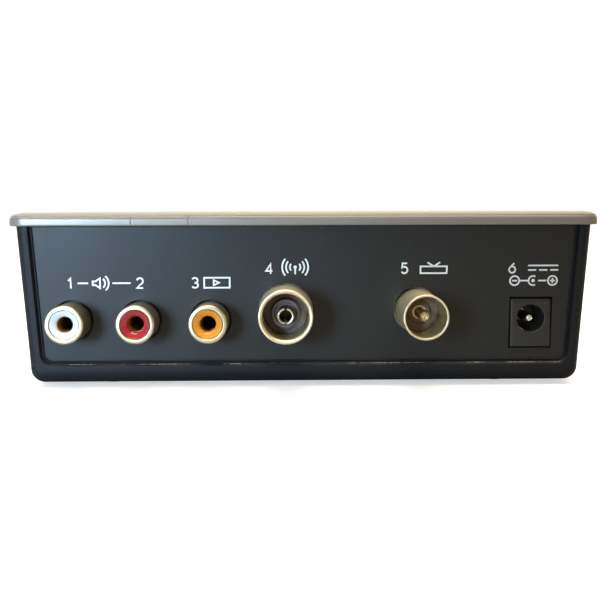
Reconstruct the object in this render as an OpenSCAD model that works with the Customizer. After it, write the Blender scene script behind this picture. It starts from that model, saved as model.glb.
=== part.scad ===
// RF modulator: a drafted plastic tub under an overhanging metal-look cover.
// Rear panel at -Y with phono, aerial and power sockets, front panel at +Y with display and buttons.
// Millimetres, Z up, origin under the middle of the whole object, Z = 0 where the rubber feet stand.

/* [Case] */
// Width of the top cover
cover_w = 128.8; // [128:0.2:136]
// Depth of the top cover
cover_d = 85; // [84:0.5:94]
// How far the cover stands out past the tub's rim on every side
overhang = 1.4; // [1:0.1:2]
// Height of the tub from its underside to its rim
tub_h = 34.9; // [34:0.1:40]
// Lean of the tub's walls in degrees
draft = 3; // [1.5:0.25:3.5]
// Thickness of the tub's walls
wall = 2; // [1.8:0.1:2.2]
// Thickness of the tub's floor
floor_t = 2; // [1.6:0.1:2.4]
// Radius of the tub's lower edge
edge_r = 3; // [2.6:0.1:4]
// Radius of the tub's upright corners
corner_r = 2; // [1.6:0.1:3]
// Plan radius of the cover's corners
cover_r = 4; // [3:0.1:6]
// Height of the cover's lip
lip_h = 1.5; // [1.4:0.1:3]
// Height of the step above the lip
step_h = 0.6; // [0.4:0.1:1.2]
// Set-back of the step from the lip
step_in = 0.2; // [0.1:0.05:1.5]
// Rise of the cover's crown above the step
crown_h = 1; // [0.4:0.1:1.4]
// Height of the rubber feet under the tub
foot_h = 1; // [0.8:0.1:3]
// Diameter of a rubber foot
foot_d = 9; // [7:0.5:11]

/* [Panels] */
// Thickness of the rear and front panels
panel_t = 2; // [1.6:0.1:2.2]
// Depth of the panels behind the tub's outer face
panel_recess = 0.9; // [0.7:0.1:1.2]
// Width of the tub's frame beside a panel
side_frame = 2.35; // [2.2:0.05:2.8]
// Height of the tub's frame under a panel
bottom_frame = 3.55; // [3.2:0.05:4]
// Width of the sloping ledge inside the frame
ledge = 0.85; // [0.6:0.05:1.1]
// How far a panel reaches into its groove
engage = 0.9; // [0.6:0.05:1]

/* [Boards] */
// Height of the main board's standoffs
standoff_h = 4.1; // [3.6:0.1:5]
// Thickness of the circuit boards
board_t = 1.6; // [1:0.1:1.8]

/* [Phono sockets] */
// Outer diameter of a phono socket's barrel
phono_d = 8.3; // [8.1:0.05:8.4]
// Reach of the phono barrels past the rear panel
phono_reach = 8.2; // [7:0.1:10]
// Outer diameter of the coloured insert
insert_d = 6.3; // [6:0.1:6.6]
// Diameter of the hole for the plug's pin
phono_bore_d = 3.3; // [3.2:0.05:3.5]
// Height of the phono axes above the board
phono_up = 6.4; // [6:0.1:7]
// Place of the left audio socket, as a share of the panel's half width
left_share = -0.858; // [-0.87:0.002:-0.85]
// Place of the right audio socket, as a share of the panel's half width
right_share = -0.607; // [-0.62:0.002:-0.59]
// Place of the video socket, as a share of the panel's half width
video_share = -0.3495; // [-0.37:0.0005:-0.34]

/* [Aerial sockets] */
// Height of the aerial and television axes above the board
coax_up = 8.4; // [8:0.1:9]
// Place of the aerial socket, as a share of the panel's half width
aerial_share = -0.072; // [-0.08:0.002:-0.05]
// Outer diameter of the aerial socket
aerial_d = 11.5; // [11.2:0.1:12]
// Bore of the aerial socket
aerial_bore_d = 9.65; // [9.6:0.01:9.8]
// Reach of the aerial socket past the rear panel
aerial_reach = 12.4; // [11:0.1:14]
// Place of the television plug, as a share of the panel's half width
tv_share = 0.413; // [0.38:0.001:0.43]
// Outer diameter of the television plug's barrel
tv_d = 9.5; // [9.4:0.01:9.6]
// Inner diameter of the television plug's barrel
tv_bore_d = 8.5; // [8.2:0.1:8.7]
// Reach of the television plug past the rear panel
tv_reach = 14.5; // [13:0.1:16]
// Diameter of the television plug's centre pin
tv_pin_d = 2.35; // [2.3:0.01:2.4]

/* [Power socket] */
// Place of the power socket, as a share of the panel's half width
power_share = 0.838; // [0.82:0.002:0.85]
// Width of the power socket's block
power_w = 9; // [8.8:0.1:9.4]
// Height of the power socket's block
power_h = 11; // [10.6:0.1:11.4]
// Height of the power socket's bore above the middle of its block
power_bore_up = 0.9; // [0.6:0.1:1.2]
// Diameter of the power socket's round hole
power_bore_d = 6.15; // [6:0.05:6.4]
// Diameter of the power socket's centre pin
power_pin_d = 2.1; // [2:0.05:2.5]

/* [Front controls] */
// Width of the display window
window_w = 30; // [28:0.5:36]
// Height of the display window
window_h = 13; // [12:0.5:16]
// Place of the window, as a share of the panel's half width
window_share = 0.301; // [0.25:0.001:0.33]
// Diameter of the push buttons
button_d = 7; // [6:0.1:8]
// Distance between the push buttons
button_pitch = 15; // [13:0.5:17]
// Place of the pair of buttons, as a share of the panel's half width
button_share = -0.435; // [-0.5:0.005:-0.4]
// How far a button stands out of the front panel
button_out = 1.6; // [1.2:0.1:1.6]
// Travel of a button
travel = 0.5; // [0.3:0.05:0.6]
// Diameter of the power light
light_d = 3; // [2.8:0.1:3.2]
// Place of the power light, as a share of the panel's half width
light_share = 0.719; // [0.7:0.001:0.75]

/* [Hidden] */
$fn = 48;

tub_colour = "#33373d";
cover_colour = "#a9a9a6";
panel_colour = "#26292e";
metal_colour = "#c9c4b4";
tin_colour = "#b7bcbf";
board_colour = "#2f6b3a";
black_colour = "#17181a";

// Overrun of every cut past the face that it opens
cut = 1;
// Thickness of the slices that a drafted form is stretched between
slice = 0.01;
// Gap between fixed pieces that sit in each other
seat_gap = 0.05;
// Gap round a panel in its groove
groove_gap = 0.12;
// Gap between a moving piece and what surrounds it
free_gap = 0.3;
// Gap between a board's edge and the case
board_gap = 0.5;
// Facets of the round ends of a stretched form
form_fn = 32;

lean = tan(draft);
rim_z = foot_h + tub_h;
rim_w = cover_w - 2 * overhang;
rim_d = cover_d - 2 * overhang;
floor_z = foot_h + floor_t;
board_z = floor_z + standoff_h;
board_top = board_z + board_t;
phono_z = board_top + phono_up;
coax_z = board_top + coax_up;
power_z = board_top + power_h / 2;
sight_half_w = rim_w / 2 - side_frame - ledge;
sight_h = tub_h - bottom_frame - ledge;

// Places of the sockets and controls across the panels
left_x = left_share * sight_half_w;
right_x = right_share * sight_half_w;
video_x = video_share * sight_half_w;
aerial_x = aerial_share * sight_half_w;
tv_x = tv_share * sight_half_w;
power_x = power_share * sight_half_w;
window_x = window_share * sight_half_w;
light_x = light_share * sight_half_w;
button_x = button_share * sight_half_w;

// Distance that an upright face has moved in at height z
function in_by(z) = (rim_z - z) * lean;
// Y of the rear panel's outer face and of its back, at height z
function panel_y(z) = -rim_d / 2 + in_by(z) + panel_recess / cos(draft);
function back_y(z) = panel_y(z) + panel_t / cos(draft);

// The whole object is centred on its origin from the longest socket to the cover's front edge
reach_y = min(
    panel_y(coax_z) - max(tv_reach, aerial_reach), panel_y(phono_z) - phono_reach, -cover_d / 2
);
centre_y = -(reach_y + cover_d / 2) / 2;

// Screw posts: radii, the height where the tub's and the cover's posts meet, and their places
post_r = 3.6;
post_h = 11;
post_top = floor_z + post_h;
post_web = 2.5;
post_inset = 3.4;
post_rear = 21.5;
post_front = 11.3;
case_screw_r = 1.4;
case_head_r = 2.6;
case_head_h = 1.8;
case_grip = 9;
screw_play = 0.3;
post_x = sight_half_w - in_by(floor_z) - post_inset;
post_places = [
    for (side = [-1, 1], y = [-rim_d / 2 + post_rear, rim_d / 2 - post_front]) [side * post_x, y]
];

// Main board screws
board_screw_r = 1.25;
board_head_r = 2.4;
board_head_h = 1.6;
standoff_r = 2.8;
board_screw_shares = [[-0.8, 0.33], [-0.8, 0.86], [0.8, 0.86]];
jack_screw_share = 0.3;
slot_w = 0.7;
slot_deep = 0.9;

// Feet
foot_sunk = 0.5;
foot_bevel = 0.4;
foot_shares = [0.7, 0.68];

// Cover
cover_t = 2;
tongue_t = 1.2;
tongue_h = 2.4;
crown_in = 0.7;
crown_edge_share = 0.45;
crown_mid_share = 0.55;
witness_w = 0.25;
witness_deep = 0.2;
witness_shares = [-0.587, -0.394];

// Tub vents under the board
vent_w = 1.6;
vent_l = 14;
vent_pitch = 4;
vent_count = 7;

// Panel ribs behind the panels, inside the tub
rib_t = 1.5;
inner_r = 1.5;
sight_r = 2.2;

// Phono sockets
phono_places = [left_x, right_x, video_x];
phono_hole_gap = 0.4;
phono_body_w = 10;
phono_body_l = 10.5;
phono_body_up = 5.6;
phono_neck_r = 3.75;
phono_bevel = 0.45;
phono_lift = 0.3;
phono_front_y = back_y(board_top) + seat_gap;
contact_t = 0.35;
contact_deep = 4;
funnel_deep = 1.3;
funnel_lip = 0.35;
body_floor = 1.2;

// Tuner can
can_side = 10;
can_gap = 1.6;
can_d = 26;
can_t = 0.5;
can_h = 2 * coax_up;
can_skirt = 2.4;
can_left = video_x + phono_body_w / 2 + can_gap;
can_right = tv_x + can_side;
can_front = back_y(board_top) + can_t + 2 * seat_gap;
can_post = 3;
contact_tail_r = 0.6;
tuner_board_t = 1;
tuner_board_z = coax_z - contact_tail_r - tuner_board_t;
tuner_chip_shares = [0.5, 0.6];
tuner_chip_size = [9, 6, 1.8];
coil_shares = [[0.2, 0.45], [0.2, 0.75], [0.82, 0.5], [0.82, 0.78]];
coil_r = 1.6;
coil_wire_r = 0.7;
coax_inside = 0.5;
coax_tail = 3.2;
coax_lift = 0.3;
coax_hole_gap = 0.35;

// Aerial socket
aerial_neck_t = 0.42;
aerial_neck_r = aerial_bore_d / 2 + aerial_neck_t;
aerial_mouth = 0.5;
aerial_bevel = 0.35;
aerial_depth = 9.6;
aerial_step_r = 3.1;
aerial_step_h = 3.2;
aerial_contact_r = 1.75;
aerial_contact_bore_r = 1.2;
aerial_contact_back = 1.4;
aerial_slot_w = 0.5;
aerial_slot_l = 5;

// Television plug
tv_neck_t = 0.25;
tv_neck_r = tv_bore_d / 2 + tv_neck_t;
tv_bevel = 0.25;
tv_depth = 10.5;
tv_pin_back = 1.6;
tv_notch = 1.2;
tv_root_t = 0.35;

// Power socket
power_proud = 0.2;
power_l = 14;
power_bore_l = 9.5;
power_pin_back = 1;
power_root_t = 0.4;
power_root_out = 0.3;
power_bevel = 0.5;
power_hole_gap = 0.22;
spring_t = 0.35;
spring_arc = 46;
spring_turn = 225;
spring_l = 7;
spring_back = 1.6;

// Regulator and heatsink
heatsink_shares = [0.8, 0.53];
heatsink_t = 2;
heatsink_l = 22;
heatsink_h = 18;
fin_l = 6;
fin_t = 1.2;
fin_shares = [-1, -0.34, 0.34, 1];
regulator_w = 10;
regulator_t = 4.4;
tab_t = 1.3;
tab_h = 15.5;
chip_h = 7.8;
lead_h = 4;
lead_w = 0.8;
lead_pitch = 2.54;
tab_screw_r = 1.45;
tab_head_r = 2.7;
tab_head_h = 1.7;
tab_screw_up = 15.2;

// Small components: places as shares of the board and sizes
filter_shares = [[0.58, 0.56], [0.6, 0.74]];
filter_sizes = [[5, 15], [4, 12]];
small_can_shares = [
    [-0.45, 0.3], [-0.33, 0.3], [-0.62, 0.42], [0.1, 0.55], [0.3, 0.52], [0.42, 0.75]
];
small_can_r = 2.5;
small_can_h = 7;
can_bevel = 0.4;
control_shares = [-0.05, 0.78];
control_l = 25.4;
audio_shares = [-0.4, 0.6];
audio_l = 10;
dip_w = 6.4;
dip_t = 3.3;
dip_up = 0.6;
dip_leg_w = 0.5;
dip_leg_t = 0.25;
dip_row = 7.62;
dip_notch_r = 0.8;
crystal_shares = [-0.12, 0.5];
crystal_l = 11;
crystal_w = 4.6;
crystal_h = 3.6;
resistor_shares = [[-0.16, 0.62], [-0.16, 0.68], [0.2, 0.66], [0.2, 0.9], [-0.66, 0.62], [-0.66, 0.7]];
resistor_r = 1.1;
resistor_l = 6.3;
resistor_up = 0.3;
resistor_span = 10;
wire_r = 0.3;

// Front board, display, light and buttons
front_board_gap = 3.1;
front_board_half_w = post_x - post_r - front_board_gap;
front_board_lift = 1.4;
front_board_drop = 5;
front_board_low = floor_z + front_board_lift;
front_board_top = rim_z - front_board_drop;
guide_w = 5;
guide_wall = 1.6;
guide_h = 9;
control_share = 0.5;
control_z = floor_z + control_share * (rim_z - floor_z);
display_w = 20;
display_h = 12;
display_t = 7;
window_flange = 1.5;
window_flange_t = 1;
window_gap = 0.1;
window_r = 1;
light_out = 0.6;
light_flange_t = 0.4;
light_flange_r = light_d / 2 + light_flange_t;
light_flange_h = 1;
light_body = 5;
switch_w = 6;
switch_t = 3.6;
switch_wall = 0.8;
plunger_r = 1.7;
plunger_gap = 0.06;
plunger_out = 1.4;
plunger_sunk = switch_t - switch_wall - travel - free_gap;
button_gap = 0.2;
button_rim = 1.1;
button_rim_t = 1;
button_bevel = 0.4;
stem_r = 1.5;
header_l = 20;
header_w = 2.5;
header_pin_r = 0.32;
header_pitch = 2.54;
header_count = 7;
header_pin_out = 1.5;
header_hole_gap = 0.1;
button_places = [button_x - button_pitch / 2, button_x + button_pitch / 2];

// Board edges and the places of what stands on the board
front_board_y = -back_y(control_z - display_h / 2) - window_flange_t / cos(draft) - free_gap
    - display_t - board_t;
board_half_w = sight_half_w - in_by(board_z) - board_gap;
board_rear = back_y(board_z) + board_gap;
board_front = front_board_y - guide_wall - board_gap;
function on_board(shares) = [
    shares[0] * board_half_w,
    board_rear + shares[1] * (board_front - board_rear)
];
board_screw_places = concat(
    [for (shares = board_screw_shares) on_board(shares)],
    [[(can_right + power_x - power_w / 2) / 2, on_board([0, jack_screw_share])[1]]]
);
header_z = board_top + header_w / 2;
function header_x(i) = (i - (header_count - 1) / 2) * header_pitch;

// Distance from the front board's face to the front panel's face and back, at a control's axis
control_face = -panel_y(control_z) - front_board_y - board_t;
control_back = -back_y(control_z) - front_board_y - board_t;

// Depth of a piece whose front is at depth y, in the frame of a rear socket at height z
function below_panel(y, z) = panel_y(z) - y;
// Inner ends of the phono necks in their bodies, and of the coaxial necks just inside the can
phono_low = below_panel(phono_front_y, phono_z) - phono_body_l + body_floor;
coax_low = below_panel(can_front + can_t, coax_z) - coax_inside;

// Moves what is drawn round the cover's middle to the object's own origin
module placed() {
    translate([0, centre_y, 0]) children();
}

// Frame of the rear wall: X along it, Y inwards from its outer face, Z = 0 at the rim
module at_rear() {
    translate([0, -rim_d / 2, rim_z]) rotate([draft, 0, 0]) children();
}

// The same frame on the front wall
module at_front() {
    mirror([0, 1, 0]) at_rear() children();
}

// Frame of a rear socket: Z outwards along its axis, Z = 0 on the panel's face
module at_socket(x, z) {
    translate([x, panel_y(z), z]) rotate([90, 0, 0]) children();
}

// Frame of a front control: Z outwards along its axis, Z = 0 on the front board's face
module at_control(x, z) {
    translate([x, front_board_y + board_t, z]) rotate([-90, 0, 0]) children();
}

// Upright plate from a drawn outline, from one depth behind the wall's face to another
module plate(near, far) {
    translate([0, far, 0]) rotate([90, 0, 0]) linear_extrude(far - near) children();
}

// Outline of a panel: sides that lean with the draft, round lower corners, a raised top edge
module u_outline(half_w, deep, r, top = 0) {
    centre_z = r - deep;
    centre_x = half_w + centre_z * lean - r / cos(draft);
    side_x = centre_x + r * cos(draft);
    side_z = centre_z - r * sin(draft);
    polygon([
        [-half_w, top], [-half_w, 0], [-side_x, side_z], [-centre_x, -deep],
        [centre_x, -deep], [side_x, side_z], [half_w, 0], [half_w, top]
    ]);
    for (side = [-1, 1]) translate([side * centre_x, centre_z]) circle(r = r);
}

// Drafted box with round corners, from height low up to the rim and top_t past it
module drafted(half_w, half_d, low, top_t, r_top, r_low) {
    low_in = in_by(low + r_low) + r_low / cos(draft);
    hull() {
        for (sx = [-1, 1], sy = [-1, 1]) {
            translate([sx * (half_w - r_top), sy * (half_d - r_top), rim_z - slice])
                cylinder(r = r_top, h = slice + top_t, $fn = form_fn);
            translate([sx * (half_w - low_in), sy * (half_d - low_in), low + r_low])
                sphere(r = r_low, $fn = form_fn);
            translate([sx * (half_w - low_in), sy * (half_d - low_in), low])
                cylinder(r = r_low / 3, h = slice, $fn = form_fn);
        }
    }
}

// Flat block with round plan corners
module rounded_block(w, d, h, r) {
    linear_extrude(h) rounded_outline(w, d, r);
}

module rounded_outline(w, d, r) {
    square([w - 2 * r, d], center = true);
    square([w, d - 2 * r], center = true);
    for (sx = [-1, 1], sy = [-1, 1]) translate([sx * (w / 2 - r), sy * (d / 2 - r)]) circle(r = r);
}

// Pan-head screw pointing up from its head's seat at Z = 0, with a crossed slot
module screw(shank_r, shank_l, head_r, head_h) {
    cylinder(r = shank_r, h = shank_l);
    difference() {
        translate([0, 0, -head_h]) cylinder(r1 = head_r - head_h / 3, r2 = head_r, h = head_h);
        for (turn = [0, 90]) rotate([0, 0, turn])
            translate([-head_r * 0.6, -slot_w / 2, -head_h - cut])
                cube([head_r * 1.2, slot_w, slot_deep + cut]);
    }
}

// Keeps what leans with an end wall level with the rim
module level_with_rim() {
    difference() {
        children();
        translate([-cover_w / 2, -cover_d / 2, rim_z]) cube([cover_w, cover_d, 2 * panel_t]);
    }
}

// Sloping mouth of a panel's opening through the tub's wall
module panel_mouth() {
    hull() {
        plate(-cut, 0) u_outline(sight_half_w + ledge, sight_h + ledge, sight_r + ledge, cut);
        plate(panel_recess, panel_recess + slice) u_outline(sight_half_w, sight_h, sight_r, cut);
    }
}

// A panel's blank, grown all round by gap except on its outer face
module panel_blank(gap, top) {
    plate(panel_recess, panel_recess + panel_t + gap)
        u_outline(sight_half_w + engage + gap, sight_h + engage + gap, sight_r + engage, top);
}

// Frame inside the tub's end wall that holds a panel's edges
module panel_ribs() {
    far = panel_recess + panel_t + groove_gap + rib_t;
    plate(wall / 2, far) difference() {
        u_outline(rim_w / 2 - wall / 2, tub_h - floor_t / 2, edge_r - wall / 2);
        u_outline(sight_half_w, sight_h, sight_r, cut);
    }
}

// Guide at one end of the front board, as a block with a slot
module board_guide(side) {
    deep = board_t + 2 * guide_wall + groove_gap;
    start = [side * front_board_half_w - guide_w / 2, front_board_y - guide_wall, floor_z - slice];
    translate(start)
        difference() {
            cube([guide_w, deep, guide_h + slice]);
            translate([side > 0 ? -cut : guide_w / 2 - seat_gap, guide_wall, front_board_lift])
                cube([guide_w / 2 + cut + seat_gap, board_t + groove_gap, guide_h + cut]);
        }
}

module base_tub() {
    color(tub_colour) placed() difference() {
        union() {
            difference() {
                drafted(rim_w / 2, rim_d / 2, foot_h, 0, corner_r, edge_r);
                drafted(rim_w / 2 - wall, rim_d / 2 - wall, floor_z, cut, inner_r, inner_r);
            }
            level_with_rim() at_rear() panel_ribs();
            level_with_rim() at_front() panel_ribs();
            for (place = post_places) translate([place[0], place[1], floor_z - slice])
                cylinder(r = post_r, h = post_top - floor_z + slice);
            for (place = board_screw_places) translate([place[0], place[1], floor_z - slice])
                cylinder(r = standoff_r, h = standoff_h + slice);
            for (side = [-1, 1]) board_guide(side);
        }
        at_rear() panel_mouth();
        at_front() panel_mouth();
        at_rear() panel_blank(groove_gap, cut);
        at_front() panel_blank(groove_gap, cut);
        for (place = post_places) translate([place[0], place[1], foot_h - cut]) {
            cylinder(r = case_head_r + screw_play, h = post_top - post_web - foot_h + cut);
            cylinder(r = case_screw_r + screw_play, h = post_top - foot_h + 2 * cut);
        }
        for (place = board_screw_places) translate([place[0], place[1], floor_z])
            cylinder(r = board_screw_r + seat_gap, h = standoff_h + cut);
        for (sx = [-1, 1], sy = [-1, 1])
            translate([sx * foot_shares[0] * rim_w / 2, sy * foot_shares[1] * rim_d / 2, foot_h - cut])
                cylinder(r = foot_d / 2 + seat_gap, h = foot_sunk + cut);
        for (i = [0 : vent_count - 1])
            translate([(i - (vent_count - 1) / 2) * vent_pitch - vent_w / 2, -vent_l / 2, foot_h - cut])
                cube([vent_w, vent_l, floor_t + 2 * cut]);
    }
}

// Set-backs of the cover's tongue from the rim, at the sides and behind the panels
tongue_side_in = wall + tongue_h * lean + groove_gap;
tongue_end_in = (panel_recess + panel_t + groove_gap + rib_t) / cos(draft) + tongue_h * lean + groove_gap;

// Block inside the rim, set back from its sides and ends
module inside_rim(side_in, end_in, low, high) {
    translate([side_in - rim_w / 2, end_in - rim_d / 2, low])
        cube([rim_w - 2 * side_in, rim_d - 2 * end_in, high - low]);
}

// Posts under the cover, from height low to height high
module posts(r, low, high) {
    for (place = post_places) translate([place[0], place[1], low]) cylinder(r = r, h = high - low);
}

module top_cover() {
    lip_top = rim_z + lip_h;
    top_z = lip_top + step_h;
    step_w = cover_w - 2 * step_in;
    step_d = cover_d - 2 * step_in;
    step_r = cover_r - step_in;
    edge_z = top_z + crown_h * crown_edge_share;
    hollow_top = edge_z - cover_t;
    color(cover_colour) placed() difference() {
        union() {
            translate([0, 0, rim_z]) rounded_block(cover_w, cover_d, lip_h, cover_r);
            hull() {
                translate([0, 0, lip_top - slice]) rounded_block(step_w, step_d, slice + step_h, step_r);
                translate([0, 0, edge_z - slice])
                    rounded_block(step_w - 2 * crown_in, step_d - 2 * crown_in, slice, step_r);
                translate([0, 0, top_z + crown_h - slice])
                    rounded_block(step_w * crown_mid_share, step_d * crown_mid_share, slice, step_r);
            }
            difference() {
                inside_rim(tongue_side_in, tongue_end_in, rim_z - tongue_h, rim_z + slice);
                inside_rim(
                    tongue_side_in + tongue_t, tongue_end_in + tongue_t, rim_z - tongue_h - cut, rim_z + cut
                );
            }
            posts(post_r, post_top, lip_top);
        }
        difference() {
            inside_rim(tongue_side_in + tongue_t, tongue_end_in + tongue_t, rim_z - cut, hollow_top);
            posts(post_r, post_top, lip_top);
        }
        posts(case_screw_r + seat_gap, post_top - cut, post_top + case_grip + cut);
        for (share = witness_shares)
            translate([share * cover_w / 2 - witness_w / 2, -cover_d / 2 - cut, rim_z - cut])
                cube([witness_w, witness_deep + cut, lip_h + 2 * cut]);
    }
}

module rear_panel() {
    color(panel_colour) placed() difference() {
        level_with_rim() at_rear() panel_blank(0, panel_t);
        for (x = phono_places) at_socket(x, phono_z)
            cylinder(r = phono_d / 2 + phono_hole_gap, h = 4 * panel_t, center = true);
        at_socket(aerial_x, coax_z)
            cylinder(r = aerial_d / 2 + coax_hole_gap, h = 4 * panel_t, center = true);
        at_socket(tv_x, coax_z) cylinder(r = tv_d / 2 + coax_hole_gap, h = 4 * panel_t, center = true);
        at_socket(power_x, power_z)
            cube([power_w + 2 * power_hole_gap, power_h + 2 * power_hole_gap, 4 * panel_t], center = true);
    }
}

module front_panel() {
    color(panel_colour) placed() difference() {
        level_with_rim() at_front() panel_blank(0, panel_t);
        at_window() translate([0, 0, -cut]) rounded_block(
            window_w + 2 * window_gap, window_h + 2 * window_gap, panel_t + 2 * cut, window_r);
        for (x = button_places) at_control(x, control_z)
            cylinder(r = button_d / 2 + button_gap, h = rim_d / 4);
        at_control(light_x, control_z) cylinder(r = light_d / 2 + seat_gap, h = rim_d / 4);
    }
}

// Frame of the window: Z outwards, square to the leaning front panel, Z = 0 on the panel's back
module at_window() {
    at_front() translate([window_x, panel_recess + panel_t, (control_z - rim_z) / cos(draft)])
        rotate([90, 0, 0]) children();
}

module display_window() {
    color("#3a1416") placed() at_window() {
        rounded_block(window_w, window_h, panel_t, window_r);
        translate([0, 0, -window_flange_t])
            rounded_block(window_w + 2 * window_flange, window_h + 2 * window_flange,
                window_flange_t, window_r);
    }
}

module rubber_feet() {
    color(black_colour) placed() for (sx = [-1, 1], sy = [-1, 1])
        translate([sx * foot_shares[0] * rim_w / 2, sy * foot_shares[1] * rim_d / 2, 0]) {
            cylinder(r1 = foot_d / 2 - foot_bevel, r2 = foot_d / 2, h = foot_bevel);
            translate([0, 0, foot_bevel]) cylinder(r = foot_d / 2, h = foot_h + foot_sunk - foot_bevel);
        }
}

module case_screws() {
    color(metal_colour) placed() for (place = post_places)
        translate([place[0], place[1], post_top - post_web])
            screw(case_screw_r, post_web + case_grip, case_head_r, case_head_h);
}

module board_screws() {
    color(metal_colour) placed() for (place = board_screw_places)
        translate([place[0], place[1], board_top]) mirror([0, 0, 1])
            screw(board_screw_r, board_t + standoff_h - seat_gap, board_head_r, board_head_h);
}

module main_board() {
    color(board_colour) placed() difference() {
        translate([-board_half_w, board_rear, board_z])
            cube([2 * board_half_w, board_front - board_rear, board_t]);
        for (place = post_places) translate([place[0], place[1], board_z - cut])
            cylinder(r = post_r + board_gap, h = board_t + 2 * cut);
        for (place = board_screw_places) translate([place[0], place[1], board_z - cut])
            cylinder(r = board_screw_r + screw_play, h = board_t + 2 * cut);
    }
}

module phono_bodies() {
    color(black_colour) placed() for (x = phono_places) difference() {
        translate([x - phono_body_w / 2, phono_front_y, board_top])
            cube([phono_body_w, phono_body_l, phono_up + phono_body_up]);
        at_socket(x, phono_z) translate([0, 0, phono_low])
            cylinder(r = phono_neck_r + seat_gap, h = phono_body_l);
    }
}

// Barrel of a phono socket, with a narrower neck through the panel into its body
module phono_shell(x) {
    color(metal_colour) placed() at_socket(x, phono_z) rotate_extrude() polygon([
        [insert_d / 2, phono_low],
        [phono_neck_r, phono_low],
        [phono_neck_r, phono_lift],
        [phono_d / 2, phono_lift],
        [phono_d / 2, phono_reach - phono_bevel],
        [phono_d / 2 - phono_bevel, phono_reach],
        [insert_d / 2, phono_reach]
    ]);
}

// Coloured liner of a phono socket, with a funnel mouth and a wider seat for its contact
module phono_insert(x, tint) {
    contact_r = phono_bore_d / 2 + contact_t;
    color(tint) placed() at_socket(x, phono_z) rotate_extrude() polygon([
        [contact_r + seat_gap, phono_low],
        [insert_d / 2 - seat_gap, phono_low],
        [insert_d / 2 - seat_gap, phono_reach - funnel_lip],
        [phono_bore_d / 2, phono_reach - funnel_deep],
        [phono_bore_d / 2, contact_deep],
        [contact_r + seat_gap, contact_deep]
    ]);
}

module phono_contacts() {
    r = phono_bore_d / 2;
    length = contact_deep - phono_low;
    color(metal_colour) placed() for (x = phono_places) at_socket(x, phono_z)
        translate([0, 0, phono_low]) difference() {
            cylinder(r = r + contact_t, h = length);
            translate([0, 0, -cut]) cylinder(r = r, h = length + 2 * cut);
        }
}

// Rear wall of the can carries both coaxial sockets; one partition splits it
module tuner_can() {
    inner_w = can_right - can_left - 2 * can_t;
    color(tin_colour) placed() difference() {
        translate([can_left, can_front, board_top]) difference() {
            cube([can_right - can_left, can_d, can_h - can_t - seat_gap]);
            translate([can_t, can_t, can_t]) cube([inner_w, can_d - 2 * can_t, can_h + cut]);
        }
        at_socket(aerial_x, coax_z) translate([0, 0, coax_low])
            cylinder(r = aerial_neck_r + seat_gap, h = -coax_low);
        at_socket(tv_x, coax_z) translate([0, 0, coax_low])
            cylinder(r = tv_neck_r + seat_gap, h = -coax_low);
    }
    color(tin_colour) placed() for (sx = [0, 1], sy = [0, 1])
        translate([
            can_left + can_t + sx * (inner_w - can_post),
            can_front + can_t + (sy ? can_d - 2 * can_t - can_post : coax_inside + seat_gap),
            board_top + can_t - slice
        ]) cube([can_post, can_post, tuner_board_z - board_top - can_t + slice]);
}

module tuner_can_cover() {
    outer_w = can_right - can_left + 2 * (can_t + seat_gap);
    outer_d = can_d + 2 * (can_t + seat_gap);
    around = can_t + seat_gap;
    color(tin_colour) placed()
        translate([can_left - around, can_front - around, board_top + can_h - can_skirt]) difference() {
            cube([outer_w, outer_d, can_skirt]);
            translate([can_t, can_t, -cut])
                cube([outer_w - 2 * can_t, outer_d - 2 * can_t, can_skirt - can_t + cut]);
        }
}

module tuner_board() {
    color(board_colour) placed() translate([
        can_left + can_t + seat_gap, can_front + can_t + coax_inside + seat_gap, tuner_board_z
    ]) cube([
        can_right - can_left - 2 * (can_t + seat_gap),
        can_d - 2 * (can_t + seat_gap) - coax_inside,
        tuner_board_t
    ]);
}

module tuner_chip() {
    place = [
        can_left + tuner_chip_shares[0] * (can_right - can_left) - tuner_chip_size[0] / 2,
        can_front + tuner_chip_shares[1] * can_d - tuner_chip_size[1] / 2,
        tuner_board_z + tuner_board_t
    ];
    color(black_colour) placed() translate(place) cube(tuner_chip_size);
}

module tuner_coils() {
    color("#b06a35") placed() for (shares = coil_shares)
        translate([
            can_left + shares[0] * (can_right - can_left), can_front + shares[1] * can_d,
            tuner_board_z + tuner_board_t
        ]) difference() {
            cylinder(r = coil_r + coil_wire_r, h = 2 * coil_wire_r);
            translate([0, 0, -cut]) cylinder(r = coil_r - coil_wire_r / 2, h = 2 * (cut + coil_wire_r));
        }
}

module aerial_shell() {
    bore_r = aerial_bore_d / 2;
    color(metal_colour) placed() at_socket(aerial_x, coax_z) rotate_extrude() polygon([
        [bore_r, coax_low],
        [aerial_neck_r, coax_low],
        [aerial_neck_r, coax_lift],
        [aerial_d / 2, coax_lift],
        [aerial_d / 2, aerial_reach - aerial_bevel],
        [aerial_d / 2 - aerial_bevel, aerial_reach],
        [bore_r + aerial_mouth / 2, aerial_reach],
        [bore_r, aerial_reach - aerial_mouth]
    ]);
}

module aerial_insulator() {
    face = aerial_reach - aerial_depth;
    hole_r = aerial_contact_r + seat_gap;
    color("#5b5560") placed() at_socket(aerial_x, coax_z) rotate_extrude() polygon([
        [hole_r, coax_low],
        [aerial_bore_d / 2 - seat_gap, coax_low],
        [aerial_bore_d / 2 - seat_gap, face],
        [aerial_step_r, face],
        [aerial_step_r, face + aerial_step_h],
        [hole_r, face + aerial_step_h]
    ]);
}

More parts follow.
